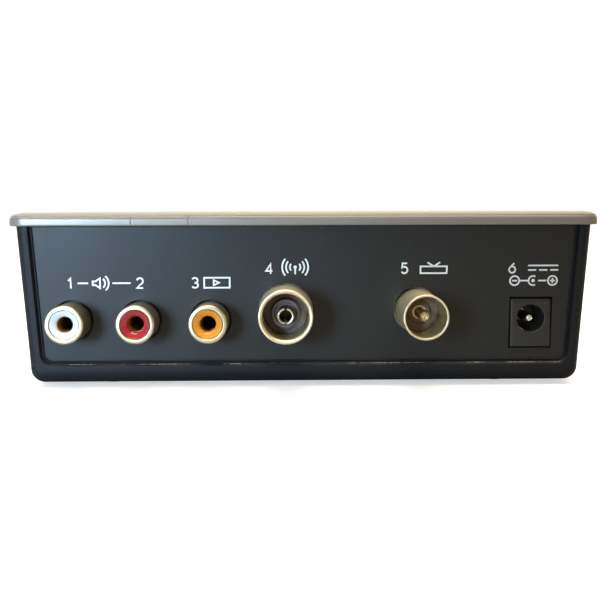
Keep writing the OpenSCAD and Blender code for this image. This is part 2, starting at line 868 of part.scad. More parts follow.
// Split tube that takes the aerial plug's pin, with a thin tail to the tuner's board
module aerial_contact() {
    tip = aerial_reach - aerial_contact_back;
    floor_at = aerial_reach - aerial_depth;
    color(metal_colour) placed() at_socket(aerial_x, coax_z) {
        difference() {
            translate([0, 0, coax_low]) cylinder(r = aerial_contact_r, h = tip - coax_low);
            translate([0, 0, floor_at]) cylinder(r = aerial_contact_bore_r, h = tip - floor_at + cut);
            translate([-aerial_slot_w / 2, -aerial_contact_r - cut, tip - aerial_slot_l])
                cube([aerial_slot_w, 2 * (aerial_contact_r + cut), aerial_slot_l + cut]);
        }
        translate([0, 0, coax_low - coax_tail]) cylinder(r = contact_tail_r, h = coax_tail + slice);
    }
}

module tv_shell() {
    color(metal_colour) placed() at_socket(tv_x, coax_z) rotate_extrude() polygon([
        [tv_bore_d / 2, coax_low],
        [tv_neck_r, coax_low],
        [tv_neck_r, coax_lift],
        [tv_d / 2, coax_lift],
        [tv_d / 2, tv_reach - tv_bevel],
        [tv_d / 2 - tv_bevel, tv_reach],
        [tv_bore_d / 2, tv_reach]
    ]);
}

module tv_insulator() {
    face = tv_reach - tv_depth;
    color("#6a4a38") placed() at_socket(tv_x, coax_z) difference() {
        translate([0, 0, coax_low]) cylinder(r = tv_bore_d / 2 - seat_gap, h = face - coax_low);
        translate([0, 0, coax_low - cut])
            cylinder(r = tv_pin_d / 2 + tv_root_t + seat_gap, h = face - coax_low + 2 * cut);
        rotate([0, 0, -45]) translate([tv_bore_d / 2 - tv_notch, -tv_notch / 2, face - tv_notch])
            cube([2 * tv_notch, tv_notch, tv_notch + cut]);
    }
}

module tv_pin() {
    tip = tv_reach - tv_pin_back;
    r = tv_pin_d / 2;
    color(metal_colour) placed() at_socket(tv_x, coax_z) {
        translate([0, 0, coax_low]) cylinder(r = r + tv_root_t, h = tv_reach - tv_depth - coax_low);
        translate([0, 0, coax_low]) cylinder(r = r, h = tip - r / 2 - coax_low);
        translate([0, 0, tip - r / 2]) cylinder(r1 = r, r2 = r / 2, h = r / 2);
        translate([0, 0, coax_low - coax_tail]) cylinder(r = contact_tail_r, h = coax_tail + slice);
    }
}

module power_jack() {
    front = power_proud;
    color(black_colour) placed() difference() {
        at_socket(power_x, power_z) difference() {
            translate([0, 0, front - power_l]) linear_extrude(power_l)
                square([power_w, power_h], center = true);
            translate([0, power_h / 2, front]) rotate([45, 0, 0])
                cube([power_w + 2 * cut, power_bevel * sqrt(2), power_bevel * sqrt(2)], center = true);
        }
        at_power_bore() {
            translate([0, 0, front - power_bore_l])
                cylinder(r = power_bore_d / 2, h = power_bore_l + cut);
            translate([0, 0, front - power_l - cut])
                cylinder(r = power_pin_d / 2 + power_root_t + seat_gap, h = power_l - power_bore_l + 2 * cut);
            spring_slot(seat_gap);
        }
    }
}

// Frame of the power socket's bore, whose axis lies above the middle of the block
module at_power_bore() {
    at_socket(power_x, power_z) translate([0, power_bore_up, 0]) children();
}

// Bent strip along the lower side of the power socket's bore, grown by gap to make its slot
module spring_slot(gap) {
    outer = power_bore_d / 2 + spring_t / 2;
    inner = power_bore_d / 2 - spring_t / 2;
    arc = spring_arc + 2 * gap / (power_bore_d / 2) * 180 / PI;
    rotate([0, 0, spring_turn - arc / 2])
        translate([0, 0, power_proud - spring_back - spring_l - gap])
            rotate_extrude(angle = arc)
                translate([inner - gap, 0]) square([outer - inner + 2 * gap, spring_l + 2 * gap]);
}

module power_spring() {
    color(metal_colour) placed() at_power_bore() spring_slot(0);
}

module power_pin() {
    tip = power_proud - power_pin_back;
    r = power_pin_d / 2;
    low = power_proud - power_l;
    color(metal_colour) placed() at_power_bore() {
        translate([0, 0, low]) cylinder(r = r + power_root_t, h = power_l - power_bore_l + power_root_out);
        translate([0, 0, low]) cylinder(r = r, h = tip - r / 2 - low);
        translate([0, 0, tip - r / 2]) cylinder(r1 = r, r2 = r / 2, h = r / 2);
    }
}

// Frame of the regulator: on the board, X pointing into the heatsink's fins
module at_regulator() {
    translate(concat(on_board(heatsink_shares), board_top)) children();
}

module heatsink() {
    spread = heatsink_l / 2 - fin_t / 2;
    color("#2b2d30") placed() at_regulator() difference() {
        linear_extrude(heatsink_h) {
            translate([0, -heatsink_l / 2]) square([heatsink_t, heatsink_l]);
            for (share = fin_shares) translate([heatsink_t - slice, share * spread - fin_t / 2])
                square([fin_l, fin_t]);
        }
        translate([-cut, 0, tab_screw_up]) rotate([0, 90, 0])
            cylinder(r = tab_screw_r + seat_gap, h = heatsink_t + 2 * cut);
    }
}

module voltage_regulator() {
    color(black_colour) placed() at_regulator() difference() {
        union() {
            translate([-tab_t, -regulator_w / 2, lead_h]) cube([tab_t, regulator_w, tab_h]);
            translate([-regulator_t, -regulator_w / 2, lead_h])
                cube([regulator_t - tab_t + slice, regulator_w, chip_h]);
            for (i = [-1, 0, 1]) translate([-regulator_t / 2 - lead_w / 2, i * lead_pitch - lead_w / 2, 0])
                cube([lead_w, lead_w, lead_h + slice]);
        }
        translate([-tab_t - cut, 0, tab_screw_up]) rotate([0, 90, 0])
            cylinder(r = tab_screw_r + screw_play, h = tab_t + 2 * cut);
    }
}

module regulator_screw() {
    color(metal_colour) placed() at_regulator() translate([-tab_t, 0, tab_screw_up])
        rotate([0, 90, 0]) screw(tab_screw_r, tab_t + heatsink_t, tab_head_r, tab_head_h);
}

// Electrolytic capacitor standing at the origin
module standing_can(r, h) {
    cylinder(r = r, h = h - can_bevel);
    translate([0, 0, h - can_bevel]) cylinder(r1 = r, r2 = r - can_bevel, h = can_bevel);
}

module filter_capacitors() {
    color("#1d2a4a") placed() for (i = [0 : len(filter_shares) - 1])
        translate(concat(on_board(filter_shares[i]), board_top))
            standing_can(filter_sizes[i][0], filter_sizes[i][1]);
}

module small_capacitors() {
    color("#1d2a4a") placed() for (shares = small_can_shares)
        translate(concat(on_board(shares), board_top)) standing_can(small_can_r, small_can_h);
}

// Dual in-line chip along X, with a notch at one end and legs down to the board
module dip_chip(length) {
    legs = floor(length / lead_pitch);
    difference() {
        translate([-length / 2, -dip_w / 2, dip_up]) cube([length, dip_w, dip_t]);
        translate([-length / 2, 0, dip_up + dip_t - dip_leg_w])
            cylinder(r = dip_notch_r, h = dip_leg_w + cut);
    }
    for (i = [0 : legs - 1], side = [-1, 1])
        translate([(i - (legs - 1) / 2) * lead_pitch - dip_leg_w / 2, 0, 0]) {
            translate([0, side * dip_row / 2 - dip_leg_t / 2, 0])
                cube([dip_leg_w, dip_leg_t, dip_up + dip_t / 2]);
            translate([0, side > 0 ? dip_w / 2 - slice : -dip_row / 2, dip_up + dip_t / 2 - dip_leg_t])
                cube([dip_leg_w, (dip_row - dip_w) / 2 + slice, dip_leg_t]);
        }
}

module control_chip() {
    color(black_colour) placed() translate(concat(on_board(control_shares), board_top)) dip_chip(control_l);
}

module audio_chip() {
    color(black_colour) placed() translate(concat(on_board(audio_shares), board_top)) dip_chip(audio_l);
}

module crystal() {
    color(tin_colour) placed() translate(concat(on_board(crystal_shares), board_top))
        rounded_block(crystal_l, crystal_w, crystal_h, crystal_w / 2 - slice);
}

module resistors() {
    color("#c9a878") placed() for (shares = resistor_shares)
        translate(concat(on_board(shares), board_top)) {
            axis_z = resistor_r + resistor_up;
            translate([0, 0, axis_z]) rotate([0, 90, 0]) {
                cylinder(r = resistor_r, h = resistor_l, center = true);
                cylinder(r = wire_r, h = resistor_span, center = true);
            }
            for (side = [-1, 1]) translate([side * (resistor_span / 2 - wire_r), 0, 0])
                cylinder(r = wire_r, h = axis_z);
        }
}

module front_board() {
    color(board_colour) placed() difference() {
        translate([-front_board_half_w, front_board_y, front_board_low])
            cube([2 * front_board_half_w, board_t, front_board_top - front_board_low]);
        for (i = [0 : header_count - 1]) translate([header_x(i), front_board_y - cut, header_z])
            rotate([-90, 0, 0]) cylinder(r = header_pin_r + header_hole_gap, h = board_t + 2 * cut);
    }
}

module board_header() {
    color(black_colour) placed() translate([-header_l / 2, board_front - header_w - board_gap, board_top])
        cube([header_l, header_w, header_w]);
}

module header_pins() {
    start = board_front - board_gap;
    color(metal_colour) placed() for (i = [0 : header_count - 1])
        translate([header_x(i), start, header_z]) rotate([-90, 0, 0])
            cylinder(r = header_pin_r, h = front_board_y + board_t + header_pin_out - start);
}

module channel_display() {
    color("#d8d8d2") placed() at_control(window_x, control_z) translate([0, 0, display_t / 2])
        cube([display_w, display_h, display_t], center = true);
}

module power_light() {
    r = light_d / 2;
    tip = control_face + light_out;
    base = tip - light_body;
    color("#3fae57") placed() at_control(light_x, control_z) {
        translate([0, 0, base]) cylinder(r = light_flange_r, h = light_flange_h);
        translate([0, 0, base]) cylinder(r = r, h = light_body - r);
        translate([0, 0, tip - r]) sphere(r = r);
    }
}

module light_spacer() {
    base = control_face + light_out - light_body;
    color(black_colour) placed() at_control(light_x, control_z) difference() {
        cylinder(r = light_flange_r, h = base);
        translate([0, 0, -cut]) cylinder(r = light_flange_r / 2, h = base + 2 * cut);
    }
}

module button_switches() {
    color(black_colour) placed() for (x = button_places) at_control(x, control_z) difference() {
        translate([-switch_w / 2, -switch_w / 2, 0]) cube([switch_w, switch_w, switch_t]);
        translate([0, 0, switch_wall]) cylinder(r = plunger_r + plunger_gap, h = switch_t);
    }
}

// Switch plunger: it is sunk in its switch with room below for the travel
module plunger(x) {
    color("#e4e0d6") placed() at_control(x, control_z)
        translate([0, 0, switch_t - plunger_sunk]) cylinder(r = plunger_r, h = plunger_sunk + plunger_out);
}

// Push button: cap through the panel, rim behind it and stem down to the plunger
module push_button(x) {
    r = button_d / 2;
    low = switch_t + plunger_out;
    rim_top = control_back - free_gap - (r + button_rim) * lean;
    top = control_face + button_out;
    color("#8b8e90") placed() at_control(x, control_z) rotate_extrude() polygon([
        [0, low],
        [stem_r, low],
        [stem_r, rim_top - button_rim_t],
        [r + button_rim, rim_top - button_rim_t],
        [r + button_rim, rim_top],
        [r, rim_top],
        [r, top - button_bevel],
        [r - button_bevel, top],
        [0, top]
    ]);
}

base_tub();
top_cover();
rear_panel();
front_panel();
display_window();
rubber_feet();
case_screws();
board_screws();
main_board();
phono_bodies();
phono_shell(left_x);  // audio_left_shell
phono_shell(right_x);  // audio_right_shell
phono_shell(video_x);  // video_shell
phono_insert(left_x, "#e8e6df");  // audio_left_insert
phono_insert(right_x, "#a8202a");  // audio_right_insert
phono_insert(video_x, "#e08a1c");  // video_insert
phono_contacts();
tuner_can();
tuner_can_cover();
tuner_board();
tuner_chip();
tuner_coils();
aerial_shell();
aerial_insulator();
aerial_contact();
tv_shell();
tv_insulator();
tv_pin();
power_jack();
power_pin();
power_spring();
heatsink();
voltage_regulator();
regulator_screw();
filter_capacitors();
small_capacitors();
control_chip();
audio_chip();
crystal();
resistors();
front_board();
board_header();
header_pins();
channel_display();
power_light();
light_spacer();
button_switches();
push_button(button_places[0]);  // button_up
push_button(button_places[1]);  // button_down
plunger(button_places[0]);  // plunger_up
plunger(button_places[1]);  // plunger_down
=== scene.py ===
"""Looks of an RF modulator: a drafted tub under a lacquered cover, with phono, aerial and power
sockets on the rear (-Y) and a display and two buttons on the front (+Y).

Lengths inside the functions are millimetres in the packed model's own frame, and metres in the
meshes.
"""
import math

import bmesh
import bpy
import numpy as np
from bpy.props import (FloatProperty, FloatVectorProperty, IntProperty, PointerProperty)
from bpy.types import Operator, Panel, PropertyGroup
from mathutils import Matrix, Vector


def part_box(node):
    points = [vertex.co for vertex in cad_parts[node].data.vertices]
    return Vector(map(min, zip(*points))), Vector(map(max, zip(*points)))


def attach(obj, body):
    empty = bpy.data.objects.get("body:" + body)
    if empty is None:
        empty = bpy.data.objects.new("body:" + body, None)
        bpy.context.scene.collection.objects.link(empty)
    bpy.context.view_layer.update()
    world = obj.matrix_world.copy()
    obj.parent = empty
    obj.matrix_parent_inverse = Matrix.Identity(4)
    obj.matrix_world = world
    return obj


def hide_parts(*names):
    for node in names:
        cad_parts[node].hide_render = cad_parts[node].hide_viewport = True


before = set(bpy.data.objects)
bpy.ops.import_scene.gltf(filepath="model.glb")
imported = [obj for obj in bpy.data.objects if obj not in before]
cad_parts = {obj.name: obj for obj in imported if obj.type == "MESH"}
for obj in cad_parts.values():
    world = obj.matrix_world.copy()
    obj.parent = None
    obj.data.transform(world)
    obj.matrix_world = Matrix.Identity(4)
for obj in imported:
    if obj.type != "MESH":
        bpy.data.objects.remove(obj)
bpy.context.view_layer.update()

bl_info = {
    "name": "RF Modulator Looks",
    "version": (1, 0, 0),
    "blender": (4, 5, 0),
    "location": "3D View > Sidebar > Modulator",
    "description": "Visible pieces, finishes and stage of an RF modulator",
    "category": "Object",
}

MM = 0.001
CASE = "case"


def box_mm(node):
    """Lowest and highest corner of a solid, in millimetres."""
    low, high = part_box(node)
    return np.array(low) / MM, np.array(high) / MM


TUB_LOW, TUB_HIGH = box_mm("base_tub")
COVER_LOW, COVER_HIGH = box_mm("top_cover")
DRAFT = math.radians(3.0)
LEAN = math.tan(DRAFT)
RIM_Z = TUB_HIGH[2]
HALF_W = (TUB_HIGH[0] - TUB_LOW[0]) / 2
TUB_DEEP = RIM_Z - TUB_LOW[2]
# How far the panels' faces lie behind the tub's leaning faces
PANEL_RECESS = 0.9
# Top of the rear frame's ledge above the tub's underside
LEDGE_UP = 4.7
# Tops of the cover's lip and step above the tub's rim, and its corners' radius
LIP_HIGH, STEP_HIGH, COVER_CORNER = 1.5, 2.1, 4.0
# Slots in the tub's underside
VENTS, VENT_PITCH, VENT_WIDE, VENT_LONG = 7, 4.0, 1.6, 14.0
# Screw wells: outer radius and top, the screw's head and shank radii, and the height of its seat
WELL_R, WELL_TOP, HEAD_R, SHANK_R, SEAT_Z = 3.6, 13.9, 2.9, 1.75, 11.5
# Gap round a foot in its hollow, and the hollow's depth
FOOT_GAP, FOOT_HOLLOW = 0.05, 0.5
# Phono barrels: bore, neck in the panel, and barrel radii, and the flare's root radius
PHONO_BORE_R, PHONO_NECK_R, PHONO_R, PHONO_HOLE_R = 3.16, 3.75, 4.15, 1.72
# Aerial socket: bore, neck and barrel radii, and its split contact's bore and outer radii
AERIAL_BORE_R, AERIAL_NECK_R, AERIAL_R = 4.825, 5.245, 5.75
SPLIT_BORE_R, SPLIT_R, SPLIT_GAP = 1.2, 1.75, 0.5
# Television plug: bore, neck and barrel radii, and its pin's radii at the tip and in the insulator
TV_BORE_R, TV_NECK_R, TV_R, TV_PIN_R, TV_ROOT_R = 4.25, 4.5, 4.75, 1.175, 1.525
# Power socket: radius and depth of the bore, radii of the pin and its root
POWER_BORE_R, POWER_DEEP, POWER_PIN_R, POWER_ROOT_R = 3.075, 9.5, 1.05, 1.45
# How deep the ink's back lies in the panel
INK_SUNK = 0.01
# Axes that turned metal was turned on
ALONG_Y, ALONG_Z = (0.0, 1.0, 0.0), (0.0, 0.0, 1.0)


def rear_y(z, depth=0.0):
    """Y at height z, a depth behind the rear wall's leaning face."""
    return TUB_LOW[1] + (RIM_Z - z) * LEAN + depth / math.cos(DRAFT)


def front_y(z, depth=0.0):
    """Y at height z, a depth behind the front wall's leaning face."""
    return TUB_HIGH[1] - (RIM_Z - z) * LEAN - depth / math.cos(DRAFT)


# Surfaces

def grid_faces(rows, cols, wrap_rows=False, wrap_cols=False, start=0):
    """Quads between neighbours of a rows by cols grid, joined round where a direction wraps."""
    r = np.arange(rows if wrap_rows else rows - 1)
    c = np.arange(cols if wrap_cols else cols - 1)
    a, b = np.meshgrid(r, c, indexing="ij")
    a2, b2 = (a + 1) % rows, (b + 1) % cols
    quads = np.stack([a * cols + b, a * cols + b2, a2 * cols + b2, a2 * cols + b], axis=-1)
    return quads.reshape(-1, 4) + start


class Shell:
    """Collects grids and flat caps in millimetres and turns them into one closed mesh piece."""

    def __init__(self):
        self.points, self.faces, self.count = [], [], 0

    def grid(self, points, wrap_rows=False, wrap_cols=False, cap_cols=False, cap_rows=False):
        """Adds an array of rows by columns by 3, and flat caps over open first and last lines."""
        rows, cols = points.shape[:2]
        self.faces.extend(grid_faces(rows, cols, wrap_rows, wrap_cols, self.count).tolist())
        if cap_cols:
            self.faces.append((np.arange(rows) * cols + self.count).tolist())
            self.faces.append((np.arange(rows) * cols + cols - 1 + self.count).tolist())
        if cap_rows:
            self.faces.append((np.arange(cols) + self.count).tolist())
            self.faces.append((np.arange(cols) + (rows - 1) * cols + self.count).tolist())
        self.points.append(points.reshape(-1, 3))
        self.count += rows * cols
        return self

    def piece(self, name, smooth=38.0):
        """Merges doubled points, points the faces outwards and shades by the edges' angle."""
        mesh = bpy.data.meshes.new(name)
        mesh.from_pydata((np.concatenate(self.points) * MM).tolist(), [], self.faces)
        tidy_mesh(mesh, smooth)
        obj = bpy.data.objects.new(name, mesh)
        bpy.context.scene.collection.objects.link(obj)
        return obj


def tidy_mesh(mesh, smooth):
    """Merges doubles, drops faces without area, turns faces outwards and sets sharp edges."""
    work = bmesh.new()
    work.from_mesh(mesh)
    bmesh.ops.remove_doubles(work, verts=work.verts, dist=2e-7)
    bmesh.ops.dissolve_degenerate(work, edges=work.edges, dist=1e-8)
    bmesh.ops.recalc_face_normals(work, faces=work.faces)
    work.to_mesh(mesh)
    work.free()
    mesh.shade_smooth()
    mesh.set_sharp_from_angle(angle=math.radians(smooth))
    mesh.update()


def carve(obj, cutter, smooth=38.0):
    """Takes the cutter's space out of a piece for good and drops the cutter."""
    cut = obj.modifiers.new("carve", "BOOLEAN")
    cut.operation, cut.solver, cut.object = "DIFFERENCE", "EXACT", cutter
    bpy.context.view_layer.update()
    made = bpy.data.meshes.new_from_object(obj.evaluated_get(bpy.context.evaluated_depsgraph_get()))
    obj.modifiers.clear()
    old, obj.data = obj.data, made
    made.name = obj.name
    bpy.data.meshes.remove(old)
    bpy.data.meshes.remove(cutter.data)
    made.shade_smooth()
    made.set_sharp_from_angle(angle=math.radians(smooth))
    return obj


def fillet_path(points, radii, steps=5, closed=False):
    """Rounds a profile's corners: each corner becomes a quadratic curve that starts and ends one
    radius away from it along its two sides, all corners worked out at once."""
    p = np.asarray(points, float)
    r = np.broadcast_to(np.asarray(radii, float), len(p)).copy()
    before, after = np.roll(p, 1, axis=0) - p, np.roll(p, -1, axis=0) - p
    len_b, len_a = np.linalg.norm(before, axis=1), np.linalg.norm(after, axis=1)
    if not closed:
        r[0] = r[-1] = 0.0
    reach = np.minimum(r, 0.49 * np.minimum(len_b, len_a))[:, None]
    start = p + before / np.maximum(len_b, 1e-9)[:, None] * reach
    end = p + after / np.maximum(len_a, 1e-9)[:, None] * reach
    t = np.linspace(0, 1, steps)[None, :, None]
    curve = (1 - t) ** 2 * start[:, None] + 2 * t * (1 - t) * p[:, None] + t ** 2 * end[:, None]
    sharp = (reach[:, 0] < 1e-6)[:, None]
    keep = np.where(sharp, np.arange(steps)[None, :] == 0, True)
    return curve[keep]


def turned(profile, origin, across, up, out, columns=72, angles=None):
    """Surface of revolution: origin + r(cos a across + sin a up) + h out, for profile rows (r, h)
    and a column for each angle a."""
    a = np.linspace(0, 2 * math.pi, columns, endpoint=False) if angles is None else angles
    r, h = np.asarray(profile, float).T
    origin, across, up, out = (np.asarray(v, float) for v in (origin, across, up, out))
    ring = np.cos(a)[:, None] * across + np.sin(a)[:, None] * up
    return origin + r[:, None, None] * ring[None] + h[:, None, None] * out


def rear_turned(profile, x, z, face_y, columns=72, angles=None):
    """Surface of revolution on a rear socket's axis, with h = 0 where the panel's face meets it."""
    return turned(profile, (x, face_y, z), (1, 0, 0), (0, 0, 1), (0, -1, 0), columns, angles)


def upright_turned(profile, x, y, z, columns=64):
    """Surface of revolution on a vertical axis, with h = 0 at height z."""
    return turned(profile, (x, y, z), (1, 0, 0), (0, 1, 0), (0, 0, 1), columns)


def round_rectangle(half_x, half_y, radius, per_arc, side_x, side_y):
    """Rows of a rounded rectangle's points, one row for each entry of the three sizes. side_x and
    side_y are the places, from -1 to 1, of the points along the straight sides."""
    half_x, half_y, radius = (np.atleast_1d(np.asarray(v, float))[:, None]
                              for v in (half_x, half_y, radius))
    radius = np.minimum(radius, np.minimum(half_x, half_y))
    cx, cy = half_x - radius, half_y - radius
    a = np.linspace(0, math.pi / 2, per_arc)[None, :]
    parts = []
    for quarter, (sx, sy) in enumerate(((1, -1), (1, 1), (-1, 1), (-1, -1))):
        turn = a + (quarter - 1) * math.pi / 2
        side = np.asarray((side_y, side_x)[quarter % 2], float)[None, :]
        arc = np.stack([sx * cx + radius * np.cos(turn), sy * cy + radius * np.sin(turn)], axis=-1)
        one = np.ones_like(side)
        lines = ((half_x * one, cy * side), (-cx * side, half_y * one),
                 (-half_x * one, -cy * side), (cx * side, -half_y * one))
        parts += [arc, np.stack(lines[quarter], axis=-1)]
    return np.concatenate(parts, axis=1)


def channel_outline(half_w, deep, radius, side=9, arc=12, bottom=60):
    """Rows of points (x, z below the rim) along a U: a side that leans in with the draft, a round
    lower corner, the bottom, and the same again to the other rim."""
    half_w, deep, radius = (np.asarray(v, float)[:, None] for v in (half_w, deep, radius))
    mid_z = radius - deep
    mid_x = half_w + mid_z * LEAN - radius / math.cos(DRAFT)
    a = np.linspace(math.pi + DRAFT, 1.5 * math.pi, arc)[None, :]
    t = np.linspace(0, 1, side, endpoint=False)[None, :]
    foot_x, foot_z = mid_x + radius * math.cos(DRAFT), mid_z - radius * math.sin(DRAFT)
    left = np.stack([-half_w + t * (half_w - foot_x), t * foot_z], axis=-1)
    corner = np.stack([-mid_x + radius * np.cos(a), mid_z + radius * np.sin(a)], axis=-1)
    s = np.linspace(-1, 1, bottom)[None, 1:-1]
    floor = np.stack([mid_x * s, -deep + 0 * s], axis=-1)
    mirror = np.array([-1.0, 1.0])
    return np.concatenate([left, corner, floor, corner[:, ::-1] * mirror, left[:, ::-1] * mirror],
                          axis=1)


def stroke(line, width, height, closed=False):
    """Printed line: a flat ribbon of one width along a path in the panel's plane, mitred at its
    corners, as four rows that run round its thin rectangular section. Gives (x, z, height)."""
    p = np.asarray(line, float)
    d = np.roll(p, -1, axis=0) - p
    if not closed:
        d[-1] = d[-2]
    d /= np.linalg.norm(d, axis=1)[:, None]
    back = np.roll(d, 1, axis=0)
    if not closed:
        back[0] = d[0]
    n = np.stack([-(d + back)[:, 1], (d + back)[:, 0]], axis=1)
    n /= np.maximum(np.linalg.norm(n, axis=1), 1e-6)[:, None]
    own = np.stack([-d[:, 1], d[:, 0]], axis=1)
    n *= (width / 2 / np.maximum((n * own).sum(axis=1), 0.5))[:, None]
    rows = np.zeros((4, len(p), 3))
    rows[:, :, :2] = np.stack([p + n, p + n, p - n, p - n])
    rows[1:3, :, 2] = height
    return rows


def arc(cx, cz, rx, rz, start, end, count=14):
    """Points of an elliptical arc, in degrees anticlockwise."""
    a = np.radians(np.linspace(start, end, count))
    return np.stack([cx + rx * np.cos(a), cz + rz * np.sin(a)], axis=1)


# Plain figures, each as strokes in a box 0.62 wide and 1 high, measured between stroke middles
FIGURES = {
    "1": [[(0.12, 0.74), (0.36, 1.0), (0.36, 0.0)]],
    "2": [np.concatenate([arc(0.31, 0.70, 0.30, 0.30, 165, -35), [(0.0, 0.0), (0.62, 0.0)]])],
    "3": [np.concatenate([arc(0.30, 0.74, 0.28, 0.26, 150, -80),
                          arc(0.30, 0.26, 0.31, 0.26, 80, -150)])],
    "4": [[(0.46, 0.0), (0.46, 1.0), (0.0, 0.30), (0.64, 0.30)]],
    "5": [np.concatenate([[(0.56, 1.0), (0.10, 1.0), (0.05, 0.55)],
                          arc(0.29, 0.33, 0.31, 0.33, 118, -150)])],
    "6": [np.concatenate([[(0.50, 0.97)], arc(0.31, 0.32, 0.31, 0.32, 128, 488, 26)])],
}


# Shader groups and finishes

def join(tree, inputs, values):
    """Joins or sets input sockets, given as {name or number: socket or value}."""
    for key, value in values.items():
        if isinstance(value, bpy.types.NodeSocket):
            tree.links.new(value, inputs[key])
        else:
            inputs[key].default_value = value


def node(tree, kind, values=None, **properties):
    """Adds a node, sets its properties, and joins or sets its inputs."""
    made = tree.nodes.new("ShaderNode" + kind)
    for key, value in properties.items():
        setattr(made, key, value)
    join(tree, made.inputs, values or {})
    return made


def math_node(tree, operation, a, b=0.0, clamp=False):
    """One arithmetic step on two sockets or numbers."""
    return node(tree, "Math", {0: a, 1: b}, operation=operation, use_clamp=clamp).outputs[0]


def plus(tree, a, b, clamp=False):
    """Sum of two sockets or numbers."""
    return math_node(tree, "ADD", a, b, clamp)


def minus(tree, a, b, clamp=False):
    """Difference of two sockets or numbers."""
    return math_node(tree, "SUBTRACT", a, b, clamp)


def times(tree, first, *others, clamp=False):
    """Product of sockets or numbers; only the last step is clamped."""
    for i, other in enumerate(others):
        first = math_node(tree, "MULTIPLY", first, other, clamp and i == len(others) - 1)
    return first


def mix_colour(tree, factor, a, b, blend="MIX"):
    """Colour a towards colour b by a factor."""
    a, b = ((*value, 1.0) if isinstance(value, tuple) else value for value in (a, b))
    return node(tree, "Mix", {"Factor": factor, 6: a, 7: b}, data_type="RGBA", blend_type=blend,
                clamp_factor=True).outputs[2]


def spread(tree, value, low, high, to_low=0.0, to_high=1.0):
    """Maps a value's range onto another, held at its ends."""
    return node(tree, "MapRange", {"Value": value, "From Min": low, "From Max": high,
                                   "To Min": to_low, "To Max": to_high}, clamp=True).outputs[0]


def noise(tree, where, scale, detail=2.0, roughness=0.5):
    """Value of a noise texture at a place."""
    return node(tree, "TexNoise", {"Vector": where, "Scale": scale, "Detail": detail,
                                   "Roughness": roughness}).outputs[0]


def new_group(name, inputs, outputs):
    """Empty shader group with a vector input, number inputs given as {name: value} and number
    outputs. Gives the group and, as its inside sees them, its input and output sockets."""
    group = bpy.data.node_groups.new(name, "ShaderNodeTree")
    group.interface.new_socket("Vector", in_out="INPUT", socket_type="NodeSocketVector")
    for label, value in inputs.items():
        socket = group.interface.new_socket(label, in_out="INPUT", socket_type="NodeSocketFloat")
        socket.default_value = value
    for label in outputs:
        group.interface.new_socket(label, in_out="OUTPUT", socket_type="NodeSocketFloat")
    source, sink = group.nodes.new("NodeGroupInput"), group.nodes.new("NodeGroupOutput")
    return group, source.outputs, sink.inputs


def grain_group():
    """Moulded or lacquered grain: a fine and a coarse noise give a height, a mottled shade and a
    roughness that changes from place to place."""
    group, ins, outs = new_group(
        "Surface grain", {"Fine Scale": 2600.0, "Coarse Scale": 90.0, "Mottle": 0.08,
                          "Roughness": 0.5, "Roughness Spread": 0.1, "Fine Height": 0.5},
        ["Shade", "Roughness", "Height"])
    fine = noise(group, ins["Vector"], ins["Fine Scale"], 2.0, 0.6)
    coarse = noise(group, ins["Vector"], ins["Coarse Scale"], 4.0, 0.55)
    centred = minus(group, coarse, 0.5)
    both = plus(group, centred, times(group, minus(group, fine, 0.5), 0.6))
    uneven = times(group, centred, ins["Roughness Spread"])
    join(group, outs, {
        "Shade": plus(group, times(group, both, ins["Mottle"]), 1.0),
        "Roughness": plus(group, uneven, ins["Roughness"], clamp=True),
        "Height": plus(group, times(group, fine, ins["Fine Height"]), times(group, coarse, 0.25))})
    return group


def wear_group():
    """Edge wear: sharp convex edges, broken up by noise, as a mask."""
    group, ins, outs = new_group("Edge wear", {"Reach": 0.54, "Scale": 240.0, "Amount": 0.6},
                                 ["Mask"])
    edge = node(group, "NewGeometry").outputs["Pointiness"]
    near = times(group, minus(group, edge, ins["Reach"]), 14.0, clamp=True)
    broken = spread(group, noise(group, ins["Vector"], ins["Scale"], 5.0, 0.65), 0.42, 0.62)
    join(group, outs, {"Mask": times(group, near, broken, ins["Amount"], clamp=True)})
    return group


def dust_group():
    """Settled dust: specks and a thin film that lies on faces that look up."""
    group, ins, outs = new_group("Settled dust", {"Specks": 0.35, "Film": 0.1, "Scale": 900.0},
                                 ["Mask"])
    up = node(group, "SeparateXYZ", {0: node(group, "NewGeometry").outputs["Normal"]}).outputs[2]
    facing = spread(group, up, -0.1, 0.9, 0.25, 1.0)
    cells = node(group, "TexVoronoi", {"Vector": ins["Vector"], "Scale": ins["Scale"]})
    dots = spread(group, cells.outputs["Distance"], 0.16, 0.05)
    some = spread(group, noise(group, ins["Vector"], 420.0), 0.6, 0.68)
    cloud = spread(group, noise(group, ins["Vector"], 60.0, 5.0), 0.35, 0.75)
    both = plus(group, times(group, dots, some, ins["Specks"]), times(group, cloud, ins["Film"]))
    join(group, outs, {"Mask": times(group, both, facing, clamp=True)})
    return group


def turning_group():
    """Turned metal: fine rings across an axis, where stretched noise moves only along that axis."""
    group, ins, outs = new_group(
        "Turned metal", {"Along X": 0.0, "Along Y": 1.0, "Along Z": 0.0, "Density": 5200.0,
                         "Tarnish": 0.3}, ["Rings", "Tarnish"])
    along = node(group, "CombineXYZ", {i: ins["Along " + "XYZ"[i]] for i in range(3)}).outputs[0]
    at = node(group, "VectorMath", {0: ins["Vector"], 1: along}, operation="MULTIPLY").outputs[0]
    spots = spread(group, noise(group, ins["Vector"], 330.0, 5.0, 0.6), 0.45, 0.7)
    join(group, outs, {"Rings": noise(group, at, ins["Density"], 3.0, 0.7),
                       "Tarnish": times(group, spots, ins["Tarnish"])})
    return group


GROUPS = {}


def object_place(tree):
    """Socket with the Object coordinates."""
    return node(tree, "TexCoord").outputs["Object"]


